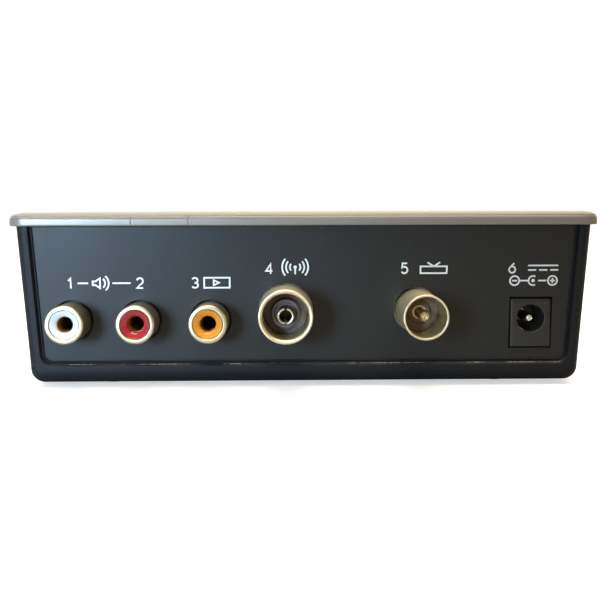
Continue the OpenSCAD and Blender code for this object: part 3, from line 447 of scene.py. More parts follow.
def use_group(tree, name, **values):
    """Places a shared group in a material with its own values, and gives its outputs; the group is
    built once."""
    if name not in GROUPS:
        build = {"grain": grain_group, "wear": wear_group, "dust": dust_group,
                 "turning": turning_group}
        GROUPS[name] = build[name]()
    made = tree.nodes.new("ShaderNodeGroup")
    made.node_tree = GROUPS[name]
    values = {key.replace("_", " ").title(): value for key, value in values.items()}
    join(tree, made.inputs, {"Vector": object_place(tree), **values})
    return made.outputs


def start_material(name):
    """New material with a Principled shader; gives (material, tree, shader)."""
    material = bpy.data.materials.new(name)
    material.use_nodes = True
    tree = material.node_tree
    tree.nodes.clear()
    shader = node(tree, "BsdfPrincipled")
    node(tree, "OutputMaterial", {0: shader.outputs[0]})
    return material, tree, shader


def tinted(tree, colour, grain):
    """A colour under the mottled shade of a grain group."""
    shade = node(tree, "CombineColor", dict.fromkeys(range(3), grain["Shade"]))
    return mix_colour(tree, 1.0, tuple(colour), shade.outputs[0], "MULTIPLY")


def bump(tree, shader, height, strength, distance):
    """Bump from a height socket; distance is in metres."""
    made = node(tree, "Bump", {"Height": height, "Strength": strength, "Distance": distance})
    join(tree, shader.inputs, {"Normal": made.outputs[0]})


def plastic_tree(name, colour, roughness=0.5, fine=2600.0, coarse=90.0, mottle=0.1, height=0.5,
                 bump_size=2e-5, specular=0.5, wear=0.35, wear_colour=None, dust=0.3, film=0.05,
                 coat=0.0, rough_spread=0.12):
    """Moulded plastic or lacquer: a mottled colour under a fine grain, rubbed lighter at its edges
    and specked with dust. Gives (material, tree, shader, colour socket)."""
    material, tree, shader = start_material(name)
    grain = use_group(tree, "grain", fine_scale=fine, coarse_scale=coarse, mottle=mottle,
                      roughness=roughness, roughness_spread=rough_spread, fine_height=height)
    light = wear_colour or tuple(min(1.0, c * 1.6 + 0.05) for c in colour)
    rubbed = use_group(tree, "wear", amount=wear)["Mask"]
    base = mix_colour(tree, rubbed, tinted(tree, colour, grain), light)
    specks = use_group(tree, "dust", specks=dust, film=film)["Mask"]
    base = mix_colour(tree, specks, base, (0.42, 0.40, 0.36))
    rough = plus(tree, grain["Roughness"], times(tree, specks, 0.3), clamp=True)
    join(tree, shader.inputs, {"Base Color": base, "Roughness": rough, "Coat Weight": coat,
                               "Specular IOR Level": specular, "Coat Roughness": 0.08})
    bump(tree, shader, grain["Height"], 0.35, bump_size)
    return material, tree, shader, base


def plastic(name, colour, **values):
    """Plain moulded plastic."""
    return plastic_tree(name, colour, **values)[0]


def metal(name, colour, roughness=0.25, along=ALONG_Y, tarnish=0.35, density=5200.0,
          ring_depth=6e-6, painted_shade_from=None):
    """Plated metal: turned rings vary its roughness and height, a brown tarnish lies in patches.
    From a Y in millimetres given for a bore, painted shade darkens the bore's metal over the next
    three."""
    material, tree, shader = start_material(name)
    turning = use_group(tree, "turning", along_x=along[0], along_y=along[1], along_z=along[2],
                        density=density, tarnish=tarnish)
    grain = use_group(tree, "grain", fine_scale=4200.0, coarse_scale=260.0, mottle=0.12,
                      roughness=roughness, roughness_spread=0.1, fine_height=0.4)
    base = mix_colour(tree, turning["Tarnish"], tinted(tree, colour, grain), (0.22, 0.17, 0.10))
    rubbed = use_group(tree, "wear", amount=0.25)["Mask"]
    base = mix_colour(tree, rubbed, base, tuple(min(1.0, c * 1.15 + 0.04) for c in colour))
    # Painted shade: past the given Y the bore's metal is darkened almost to black
    if painted_shade_from is not None:
        at_y = node(tree, "SeparateXYZ", {0: object_place(tree)}).outputs[1]
        deep = spread(tree, at_y, float(painted_shade_from) * MM, float(painted_shade_from + 3.0) * MM, 0.0, 0.94)
        base = mix_colour(tree, deep, base, (0.012, 0.009, 0.007))
    ringed = plus(tree, grain["Roughness"], times(tree, minus(tree, turning["Rings"], 0.5), 0.22))
    rough = plus(tree, ringed, times(tree, turning["Tarnish"], 0.35), clamp=True)
    join(tree, shader.inputs, {"Base Color": base, "Roughness": rough, "Metallic": 1.0})
    bump(tree, shader, turning["Rings"], 0.3, ring_depth)
    return material


def tub_material(settings):
    """Dark textured plastic, with light tan streaks along the lower ledge of the rear frame:
    scuffs, and painted highlight where the ledge's edge catches the light.
    """
    material, tree, shader, base = plastic_tree(
        "Tub plastic", settings.tub_colour, roughness=0.5, fine=2300.0, coarse=70.0, mottle=0.16,
        height=0.8, bump_size=3e-5, wear=0.12, dust=0.35, film=0.01, specular=0.18)
    where = node(tree, "SeparateXYZ", {0: object_place(tree)}).outputs
    ledge_z = float(TUB_LOW[2] + LEDGE_UP - 0.42) * MM
    edge_y = float(rear_y(TUB_LOW[2] + LEDGE_UP, 1.2)) * MM
    off = math_node(tree, "ABSOLUTE", minus(tree, where[2], ledge_z))
    band = minus(tree, 1.0, times(tree, off, 10500.0), clamp=True)
    rear = spread(tree, where[1], edge_y + 0.0002, edge_y)
    along = node(tree, "CombineXYZ", {0: where[0]}).outputs[0]
    runs = spread(tree, noise(tree, along, 75.0, 1.0), 0.49, 0.53)
    broken = spread(tree, noise(tree, along, 900.0, 4.0), 0.40, 0.52)
    # Streaks in a thin band at the ledge's edge: partly scuffs, partly painted highlight of the lit
    # edge
    scuff_and_glint = times(tree, band, rear, runs, broken, 0.7)
    join(tree, shader.inputs, {"Base Color": mix_colour(tree, scuff_and_glint, base, (0.50, 0.41, 0.28))})
    return material


def cover_material(settings):
    """Silver-grey lacquer with fine metal flake and a soft clear coat."""
    material, tree, shader, _ = plastic_tree(
        "Cover lacquer", settings.cover_colour, roughness=0.40, fine=5200.0, coarse=40.0,
        mottle=0.14, height=0.3, bump_size=8e-6, wear=0.0, dust=0.25, film=0.02, coat=0.3)
    flake = node(tree, "TexVoronoi", {"Vector": object_place(tree), "Scale": 5200.0})
    pick = node(tree, "SeparateColor", {0: flake.outputs["Color"]}).outputs[0]
    join(tree, shader.inputs, {"Coat Roughness": 0.22,
                               "Metallic": spread(tree, pick, 0.0, 1.0, 0.15, 0.4)})
    return material


def liner_material(name, colour):
    """Glossy moulded liner, a little translucent."""
    material, tree, shader, _ = plastic_tree(
        name, colour, roughness=0.16, fine=900.0, coarse=260.0, mottle=0.1, height=0.2,
        bump_size=8e-6, wear=0.0, dust=0.15, film=0.02, coat=0.5, rough_spread=0.06)
    join(tree, shader.inputs, {"Subsurface Weight": 0.12, "Subsurface Scale": 0.0006})
    return material


def glass_material(name, tint):
    """Smoked clear plastic with faint swirl marks in its polish."""
    material, tree, shader = start_material(name)
    grain = use_group(tree, "grain", fine_scale=700.0, coarse_scale=60.0, mottle=0.1,
                      roughness=0.07, roughness_spread=0.06, fine_height=0.2)
    join(tree, shader.inputs, {"Base Color": tinted(tree, tint, grain), "IOR": 1.49,
                               "Roughness": grain["Roughness"], "Transmission Weight": 0.85})
    bump(tree, shader, grain["Height"], 0.1, 4e-6)
    return material


def glow_material(name, colour, strength):
    """Lit segment: a milky face whose glow is a little uneven."""
    material, tree, shader, base = plastic_tree(
        name, tuple(0.5 * c for c in colour), roughness=0.35, wear=0.0, dust=0.0, film=0.0,
        mottle=0.2, coarse=500.0)
    join(tree, shader.inputs, {"Emission Color": mix_colour(tree, 0.75, base, tuple(colour)),
                               "Emission Strength": strength})
    return material


def board_material(name, colour):
    """Green solder mask with a faint darker weave and thin lighter tracks."""
    material, tree, shader, base = plastic_tree(
        name, colour, roughness=0.3, fine=1500.0, coarse=120.0, mottle=0.12, height=0.3,
        bump_size=1e-5, wear=0.2, dust=0.2, film=0.06, coat=0.2)
    where = object_place(tree)
    tracks = node(tree, "TexBrick",
                  {"Vector": where, "Scale": 260.0, "Mortar Size": 0.05, "Mortar Smooth": 0.1,
                   "Color1": (0, 0, 0, 1), "Color2": (0, 0, 0, 1), "Mortar": (1, 1, 1, 1)})
    lines = node(tree, "SeparateColor", {0: tracks.outputs[0]}).outputs[0]
    shown = times(tree, lines, spread(tree, noise(tree, where, 130.0), 0.48, 0.55), 0.5)
    base = mix_colour(tree, shown, base, tuple(c * 1.9 for c in colour))
    join(tree, shader.inputs, {"Base Color": base})
    return material


def dress(names, material):
    """Gives solids of the packed model a material, with no change to their meshes."""
    for name in names:
        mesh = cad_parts[name].data
        mesh.materials.clear()
        mesh.materials.append(material)


def fit_piece(obj, material, slot, *nodes, body=CASE):
    """Gives a new piece its material, body and the solids that it stands for, and
    those hidden solids the same material. The slot argument is not used."""
    obj.data.materials.clear()
    obj.data.materials.append(material)
    dress(nodes, material)
    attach(obj, body)
    if nodes:
        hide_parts(*nodes)
    return obj


# Settings

def colour_property(name, description, default):
    """Setting for a colour."""
    return FloatVectorProperty(name=name, description=description, subtype="COLOR", default=default,
                               min=0, max=1)


def length_property(name, description, default, low, high):
    """Setting for a length in metres."""
    return FloatProperty(name=name, description=description, default=default, min=low, max=high,
                         unit="LENGTH")


def angle_property(name, description, degrees):
    """Setting for an angle."""
    return FloatProperty(name=name, description=description, default=math.radians(degrees),
                         subtype="ANGLE")


def power_property(name, description, default):
    """Setting for a light's power."""
    return FloatProperty(name=name, description=description, default=default, min=0, unit="POWER")


class CaseSettings(PropertyGroup):
    """Tub and cover."""
    tub_colour: colour_property("Tub colour", "Colour of the tub's plastic", (0.012, 0.012, 0.013))
    cover_colour: colour_property("Cover colour", "Colour of the cover's lacquer",
                                  (0.24, 0.212, 0.174))
    panel_colour: colour_property("Panel colour", "Colour of the rear and front panels",
                                  (0.013, 0.0125, 0.011))
    side_round: length_property("Upright edge", "Rounding of the tub's upright edges", 0.0020,
                                0.0005, 0.003)
    base_round: length_property("Lower edge", "Rounding of the tub's lower edges", 0.0029, 0.001,
                                0.004)
    panel_round: length_property("Panel edges", "Rounding of the panels' edges and holes", 0.00012,
                                 0.00002, 0.0003)
    lip_round: length_property("Lip rounding", "Rounding of the cover's lip", 0.00035, 0.0001,
                               0.0006)


class SocketSettings(PropertyGroup):
    """Metal and liners of the sockets."""
    plating: colour_property("Plating", "Colour of the nickel-like plating", (0.84, 0.74, 0.49))
    white: colour_property("Left liner", "Colour of the left audio liner", (0.80, 0.78, 0.74))
    red: colour_property("Right liner", "Colour of the right audio liner", (0.42, 0.012, 0.022))
    yellow: colour_property("Video liner", "Colour of the video liner", (0.80, 0.28, 0.012))
    ring_round: length_property("Ring rounding", "Rounding of the phono barrels' outer rims",
                                0.00055, 0.0001, 0.0009)
    dimple: length_property("Dimple height", "Height of the gripping dimples in the aerial socket",
                            0.00028, 0, 0.0005)


class PrintSettings(PropertyGroup):
    """White print on the panels."""
    colour: colour_property("Ink colour", "Colour of the printed figures and signs",
                            (0.84, 0.84, 0.80))
    line: length_property("Line width", "Width of the printed lines", 0.00036, 0.0001, 0.0008)
    high: length_property("Figure height", "Height of the printed figures", 0.0022, 0.001, 0.004)
    thick: length_property("Ink thickness", "How far the ink stands on the panel", 0.00002, 0.00001,
                           0.0001)


class FrontSettings(PropertyGroup):
    """Window, display, light and buttons."""
    channel: IntProperty(name="Channel", description="Two figures that the display shows",
                         default=36, min=0, max=99)
    smoke: colour_property("Window tint", "Tint of the display window", (0.30, 0.035, 0.04))
    button_colour: colour_property("Button colour", "Colour of the push buttons",
                                   (0.30, 0.31, 0.32))
    glow: FloatProperty(name="Segment glow", description="Strength of a lit segment", default=3.0,
                        min=0, max=20)
    dish: length_property("Button dish", "Depth of the hollow in a button's face", 0.00035, 0,
                          0.001)


class StageSettings(PropertyGroup):
    """Camera, lights and floor."""
    lens: FloatProperty(name="Lens", description="Focal length in millimetres on a 36 mm sensor",
                        default=52.74, min=20, max=200)
    eye: FloatVectorProperty(name="Camera place", description="Place of the camera", subtype="XYZ",
                             unit="LENGTH", default=(-0.00355, -0.23009, 0.0392))
    yaw: angle_property("Yaw", "Turn of the camera to the right", 1.02)
    pitch: angle_property("Pitch", "Tilt of the camera downwards", 6.06)
    roll: angle_property("Roll", "Roll of the camera", -0.187)
    key: power_property("Key light", "Power of the cool light from the left", 0.32)
    top: power_property("Top light", "Power of the warm light from above", 7.4)
    floor_colour: colour_property("Floor colour", "Colour of the floor", (0.80, 0.80, 0.80))


# Case

def tub_shell(settings):
    """Tub: a U-shaped outline carried from the rear opening over its frame and the straight body to
    the front opening, and back along the inside. Each row has a state q that picks the outline
    (0 the outer skin, 1 the flat frame's start, 2 the mouth's outer edge, 3 the panel's edge, 4 a
    bead on it) and a depth behind the leaning end wall, with y = wall(z) + depth."""
    side, base = settings.side_round / MM, settings.base_round / MM
    states = np.array([0.0, 1.0, 2.0, 3.0, 4.0])
    widths = HALF_W - np.array([0.0, side, 2.8, 3.2, 3.75])
    depths = TUB_DEEP - np.array([0.0, base, LEDGE_UP - 0.85, LEDGE_UP, LEDGE_UP + 0.4])
    radii = np.array([3.0, 1.0, 2.8, 2.2, 1.75])
    lead = np.array([
        (3.0, 4.4), (3.0, 0.89), (4.0, 0.89), (3.96, 0.74), (3.84, 0.6), (3.66, 0.5), (3.48, 0.5),
        (3.3, 0.62), (3.16, 0.78), (3.02, 0.84), (2.88, 0.78), (2.6, 0.5), (2.35, 0.25),
        (2.18, 0.1), (2.08, 0.03), (1.95, 0.004), (1.8, 0.0), (1.4, 0.0), (1.04, 0.0)])
    turn = np.linspace(0, math.pi / 2, 13)
    bend = np.stack([1 - np.sin(turn), 2.7 * (1 - np.cos(turn))], axis=1)
    end = np.concatenate([lead, bend])
    mid = np.linspace(0, 1, 26)[1:-1]
    q = np.concatenate([end[:, 0], 0 * mid, end[::-1, 0]])
    depth = np.concatenate([end[:, 1], 0 * mid + end[-1, 1], end[::-1, 1]])
    share = np.concatenate([np.zeros(len(end)), mid, np.ones(len(end))])
    outline = channel_outline(np.interp(q, states, widths), np.interp(q, states, depths),
                              np.interp(q, states, radii))
    x, z = outline[..., 0], RIM_Z + outline[..., 1]
    w = share[:, None]
    y = (1 - w) * rear_y(z, depth[:, None]) + w * front_y(z, depth[:, None])
    outer = np.stack([x, y, z], axis=-1)
    back = channel_outline(np.array([HALF_W - 2.05] * 4), np.array([TUB_DEEP - 2.0] * 4),
                           np.array([1.5] * 4))
    inner_z = RIM_Z + back[..., 1]
    lean_in = np.array([0.0, 0.33, 0.67, 1.0])[:, None]
    inner_y = lean_in * rear_y(inner_z, 4.6) + (1 - lean_in) * front_y(inner_z, 4.6)
    inner = np.stack([back[..., 0], inner_y, inner_z], axis=-1)
    shell = Shell()
    shell.grid(np.concatenate([outer, inner]), wrap_rows=True, cap_cols=True)
    return shell


def slot_cutter(shell, x, y, width, length, low, high):
    """Upright slot with round ends, added to a shell of cutters."""
    ring = round_rectangle([width / 2] * 2, [length / 2] * 2, [width / 2 - 0.01] * 2, 8, [-1, 1],
                           [-1, 1])
    z = np.array([low, high])[:, None] + 0 * ring[..., 0]
    shell.grid(np.stack([ring[..., 0] + x, ring[..., 1] + y, z], axis=-1), wrap_cols=True,
               cap_rows=True)


def round_cutter(shell, x, y, radius, low, high):
    """Upright round cutter, added to a shell of cutters."""
    shell.grid(upright_turned([(radius, low), (radius, high)], x, y, 0.0, 56), wrap_cols=True,
               cap_rows=True)


def islands(node_name):
    """Middle x and y, radius and top of the round solid in each quarter of a node's plan."""
    co = np.array([v.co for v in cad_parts[node_name].data.vertices]) / MM
    middle = (co.min(axis=0) + co.max(axis=0)) / 2
    found = []
    for sx in (-1, 1):
        for sy in (-1, 1):
            part = co[((co[:, 0] - middle[0]) * sx > 0) & ((co[:, 1] - middle[1]) * sy > 0)]
            low, high = part.min(axis=0), part.max(axis=0)
            found.append((*(low + high)[:2] / 2, (high[0] - low[0]) / 2, high[2]))
    return found


class MODULATOR_OT_tub(Operator):
    """Build the drafted tub with its framed openings, vents, screw wells and foot seats"""
    bl_idname = "modulator.tub"
    bl_label = "Tub"

    def execute(self, context):
        settings = context.scene.modulator_case
        tub = tub_shell(settings).piece("tub", 32.0)
        cutters = Shell()
        base = TUB_LOW[2]
        middle_y = (TUB_LOW[1] + TUB_HIGH[1]) / 2
        low, high = base - 1, base + 3
        for i in range(VENTS):
            slot_cutter(cutters, (i - (VENTS - 1) / 2) * VENT_PITCH, middle_y, VENT_WIDE, VENT_LONG,
                        low, high)
        wells = islands("case_screws")
        for x, y, *_ in wells:
            round_cutter(cutters, x, y, WELL_R - 0.05, low, high)
        for x, y, radius, _ in islands("rubber_feet"):
            round_cutter(cutters, x, y, radius + FOOT_GAP, low, base + FOOT_HOLLOW)
        carve(tub, cutters.piece("cutters"), 32.0)
        wall = Shell()
        profile = fillet_path([(WELL_R, base), (WELL_R, WELL_TOP), (SHANK_R, WELL_TOP),
                               (SHANK_R, SEAT_Z), (HEAD_R, SEAT_Z), (HEAD_R, base)],
                              [0.05, 0.2, 0.1, 0.1, 0.2, 0.25], 4, closed=True)
        for x, y, *_ in wells:
            wall.grid(upright_turned(profile, x, y, 0.0, 48), wrap_rows=True, wrap_cols=True)
        posts = wall.piece("screw_wells")
        material = tub_material(settings)
        fit_piece(tub, material, "tub", "base_tub")
        fit_piece(posts, material, "tub", "base_tub")
        return {"FINISHED"}


class MODULATOR_OT_cover(Operator):
    """Build the stepped cover with its rounded lip, low crown and two hairline witness marks"""
    bl_idname = "modulator.cover"
    bl_label = "Cover"

    def execute(self, context):
        settings = context.scene.modulator_case
        half_x, half_y = COVER_HIGH[0], (COVER_HIGH[1] - COVER_LOW[1]) / 2
        middle_y = (COVER_HIGH[1] + COVER_LOW[1]) / 2
        r = settings.lip_round / MM
        lip, step, top = RIM_Z + LIP_HIGH, RIM_Z + STEP_HIGH, COVER_HIGH[2]
        # Profile of (set-back from the lip's face, z), from under the cover to the crown's edge:
        # the
        # lip, a fine groove, a band that leans back, a second groove and a sloping shoulder
        profile = fillet_path(
            [(5.2, RIM_Z + 0.5), (4.7, RIM_Z + 0.5), (4.7, RIM_Z), (0.0, RIM_Z), (0.0, lip),
             (0.14, lip + 0.02), (0.14, lip + 0.10), (0.05, lip + 0.14), (0.30, step),
             (0.42, step + 0.02), (0.40, step + 0.09), (0.34, step + 0.12), (1.15, top - 0.40),
             (3.0, top - 0.12)],
            [0, 0, 0.1, r, r * 0.4, 0.03, 0.03, 0.05, 0.05, 0.03, 0.03, 0.05, 0.6, 0], 6)
        q = np.linspace(1.0, 0.0, 26)[1:]
        marks, mark_size = np.array([-0.5825, -0.3895]) * half_x, 0.09
        fine = np.concatenate([m + np.linspace(-0.45, 0.45, 13) for m in marks])
        side_x = np.unique(np.concatenate([np.linspace(-1, 1, 41), -fine / (half_x - COVER_CORNER),
                                           fine / (half_x - COVER_CORNER)]))
        side_y = np.linspace(-1, 1, 27)
        ring = round_rectangle(half_x - profile[:, 0], half_y - profile[:, 0],
                               np.maximum(COVER_CORNER - profile[:, 0], 0.6), 10, side_x, side_y)
        z = profile[:, 1][:, None] + 0 * ring[..., 0]
        lip_rows = (profile[:, 0] < 0.3) & (profile[:, 1] > RIM_Z - 0.01)
        on_lip = lip_rows[:, None] & (ring[..., 1] < 0)
        notch = sum(np.exp(-((ring[..., 0] - m) / mark_size) ** 2) for m in marks) * mark_size
        ring[..., 1] += np.where(on_lip, notch, 0.0)
        rows = np.stack([ring[..., 0], ring[..., 1] + middle_y, z], axis=-1)
        rim, rim_z = ring[-1], profile[-1, 1]
        drop = (top - rim_z) * np.clip((q - 0.3) / 0.7, 0, 1) ** 2.4
        crown = np.stack([q[:, None] * rim[None, :, 0], q[:, None] * rim[None, :, 1] + middle_y,
                          (top - drop)[:, None] + 0 * rim[None, :, 0]], axis=-1)
        under = np.linspace(0.0, 1.0, 6)[:-1]
        inside = np.stack([under[:, None] * ring[0][None, :, 0],
                           under[:, None] * ring[0][None, :, 1] + middle_y,
                           profile[0, 1] + 0 * under[:, None] * ring[0][None, :, 0]], axis=-1)
        shell = Shell().grid(np.concatenate([inside, rows, crown]), wrap_cols=True)
        cover = shell.piece("cover", 40.0)
        fit_piece(cover, cover_material(settings), "cover", "top_cover")
        return {"FINISHED"}


def softened_copy(name, size):
    """Copy of a solid's mesh with flat faces joined up and sharp edges rounded by a size."""
    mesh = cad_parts[name].data.copy()
    mesh.name = name.replace("_", " ") + " plate"
    work = bmesh.new()
    work.from_mesh(mesh)
    bmesh.ops.remove_doubles(work, verts=work.verts, dist=1e-6)
    bmesh.ops.dissolve_limit(work, angle_limit=math.radians(0.5), verts=work.verts,
                             edges=work.edges)
    bmesh.ops.recalc_face_normals(work, faces=work.faces)
    work.to_mesh(mesh)
    work.free()
    obj = bpy.data.objects.new(name + "_plate", mesh)
    bpy.context.scene.collection.objects.link(obj)
    rounding = obj.modifiers.new("edges", "BEVEL")
    rounding.width, rounding.segments = size, 2
    rounding.limit_method, rounding.angle_limit = "ANGLE", math.radians(50)
    rounding.harden_normals = True
    mesh.shade_smooth()
    mesh.set_sharp_from_angle(angle=math.radians(35))
    return obj


class MODULATOR_OT_panels(Operator):
    """Round the edges of the rear and front panels and finish them"""
    bl_idname = "modulator.panels"
    bl_label = "Panels"

    def execute(self, context):
        settings = context.scene.modulator_case
        material = plastic(
            "Panel plastic", settings.panel_colour, roughness=0.44, fine=2900.0, coarse=55.0,
            mottle=0.14, height=0.6, bump_size=2e-5, wear=0.0, dust=0.6, film=0.012, specular=0.35)
        for name in ("rear_panel", "front_panel"):
            plate = softened_copy(name, settings.panel_round)
            fit_piece(plate, material, "panel", name)
        return {"FINISHED"}


class MODULATOR_OT_feet(Operator):
    """Build the rubber feet with rounded edges and slightly hollow soles"""
    bl_idname = "modulator.feet"
    bl_label = "Feet"

    def execute(self, context):
        shell = Shell()
        for x, y, r, top in islands("rubber_feet"):
            profile = fillet_path([(0.0, 0.12), (r - 1.4, 0.1), (r - 1.1, 0.0), (r - 0.35, 0.0),
                                   (r, 0.4), (r, top), (0.0, top)],
                                  [0, 0.2, 0.15, 0.3, 0.3, 0.05, 0], 5)
            shell.grid(upright_turned(profile, x, y, 0.0), wrap_cols=True)
        material = plastic("Foot rubber", (0.018, 0.018, 0.019), roughness=0.78, fine=1800.0,
                           coarse=200.0, mottle=0.25, height=1.0, bump_size=5e-5, wear=0.3,
                           dust=0.5, film=0.2)
        fit_piece(shell.piece("feet"), material, "rubber", "rubber_feet")
        zinc = metal("Zinc plate", (0.55, 0.55, 0.50), 0.32, ALONG_Z, 0.25)
        dress(["case_screws", "board_screws", "regulator_screw"], zinc)
        return {"FINISHED"}


# Sockets

def socket_axis(node_name):
    """X and Z of a rear socket's axis, the panel's face on it, and how far the solid's tip and its
    inner end lie in front of that face."""
    low, high = box_mm(node_name)
    x, z = (low[0] + high[0]) / 2, (low[2] + high[2]) / 2
    face = rear_y(z, PANEL_RECESS)
    return x, z, face, face - low[1], face - high[1]


def rear_ring(name, profile, x, z, face, columns, smooth=38.0):
    """Piece made of a closed profile turned on a rear socket's axis."""
    surface = rear_turned(profile, x, z, face, columns)
    return Shell().grid(surface, wrap_rows=True, wrap_cols=True).piece(name, smooth)


class MODULATOR_OT_phono(Operator):
    """Build three phono sockets: plated barrels with rounded rims, and glossy funnel liners"""
    bl_idname = "modulator.phono"
    bl_label = "Phono Sockets"

    def execute(self, context):
        settings = context.scene.modulator_sockets
        # The phono barrels take the plating at 0.72 of its colour: painted shade, the same plating
        # drawn darker than on the coaxial barrels
        plate = metal("Phono plating with painted shade", tuple(c * 0.72 for c in settings.plating), 0.33, ALONG_Y,
                      0.3, density=2700.0, ring_depth=2.2e-5)
        round_rim = settings.ring_round / MM
        collars = Shell()
        for side, colour, slot in (("audio_left", settings.white, "white_liner"),
                                   ("audio_right", settings.red, "red_liner"),
                                   ("video", settings.yellow, "yellow_liner")):
            x, z, face, tip, end = socket_axis(side + "_shell")
            barrel = fillet_path(
                [(PHONO_BORE_R, end), (PHONO_NECK_R, end), (PHONO_NECK_R, 0.3), (PHONO_R, 0.3),
                 (PHONO_R, tip - 0.04), (3.3, tip), (PHONO_BORE_R, tip - 0.2)],
                [0.05, 0.1, 0.05, 0.12, round_rim, 0.2, 0.08], 9, closed=True)
            fit_piece(rear_ring(side + "_barrel", barrel, x, z, face, 96), plate, "nickel",
                      side + "_shell")
            t = np.linspace(0, 1, 12)
            mouth = np.stack([PHONO_HOLE_R + 1.22 * t, tip - 1.25 + 0.93 * t ** 0.62], axis=1)
            rim = fillet_path([(3.1, end + 1), (3.12, tip - 0.32), (2.98, tip - 0.27)],
                              [0, 0.08, 0], 4)
            liner = np.concatenate([[(2.05, end), (3.1, end)], rim, mouth[::-1], [
                (PHONO_HOLE_R, tip - 1.42), (2.0, tip - 1.5), (2.0, 4.0), (2.05, 4.0)]])
            fit_piece(rear_ring(side + "_liner", liner, x, z, face, 80, 50.0),
                      liner_material(side.replace("_", " ") + " liner", colour), slot,
                      side + "_insert")
            collar = fillet_path([(1.66, tip - 1.6), (1.95, tip - 1.6), (1.95, 4.05), (1.66, 4.05)],
                                 0.04, 4, closed=True)
            collars.grid(rear_turned(collar, x, z, face, 48), wrap_rows=True, wrap_cols=True)
        fit_piece(collars.piece("contact_collars"), plastic(
            "Brass collar", (0.62, 0.25, 0.045), roughness=0.3, mottle=0.3, specular=0.8, dust=0.0),
                  "contact")
        dress(["phono_contacts"], metal("Phono contact", (0.55, 0.36, 0.14), 0.35, ALONG_Y, 0.5))
        black = plastic("Socket body", (0.012, 0.012, 0.013), roughness=0.5)
        dress(["phono_bodies"], black)
        return {"FINISHED"}


def sector(profile, x, z, face, start, end, columns=26):
    """Part of a turned ring between two angles in degrees, open at its ends."""
    angles = np.radians(np.linspace(start, end, columns))
    return rear_turned(profile, x, z, face, angles=angles)


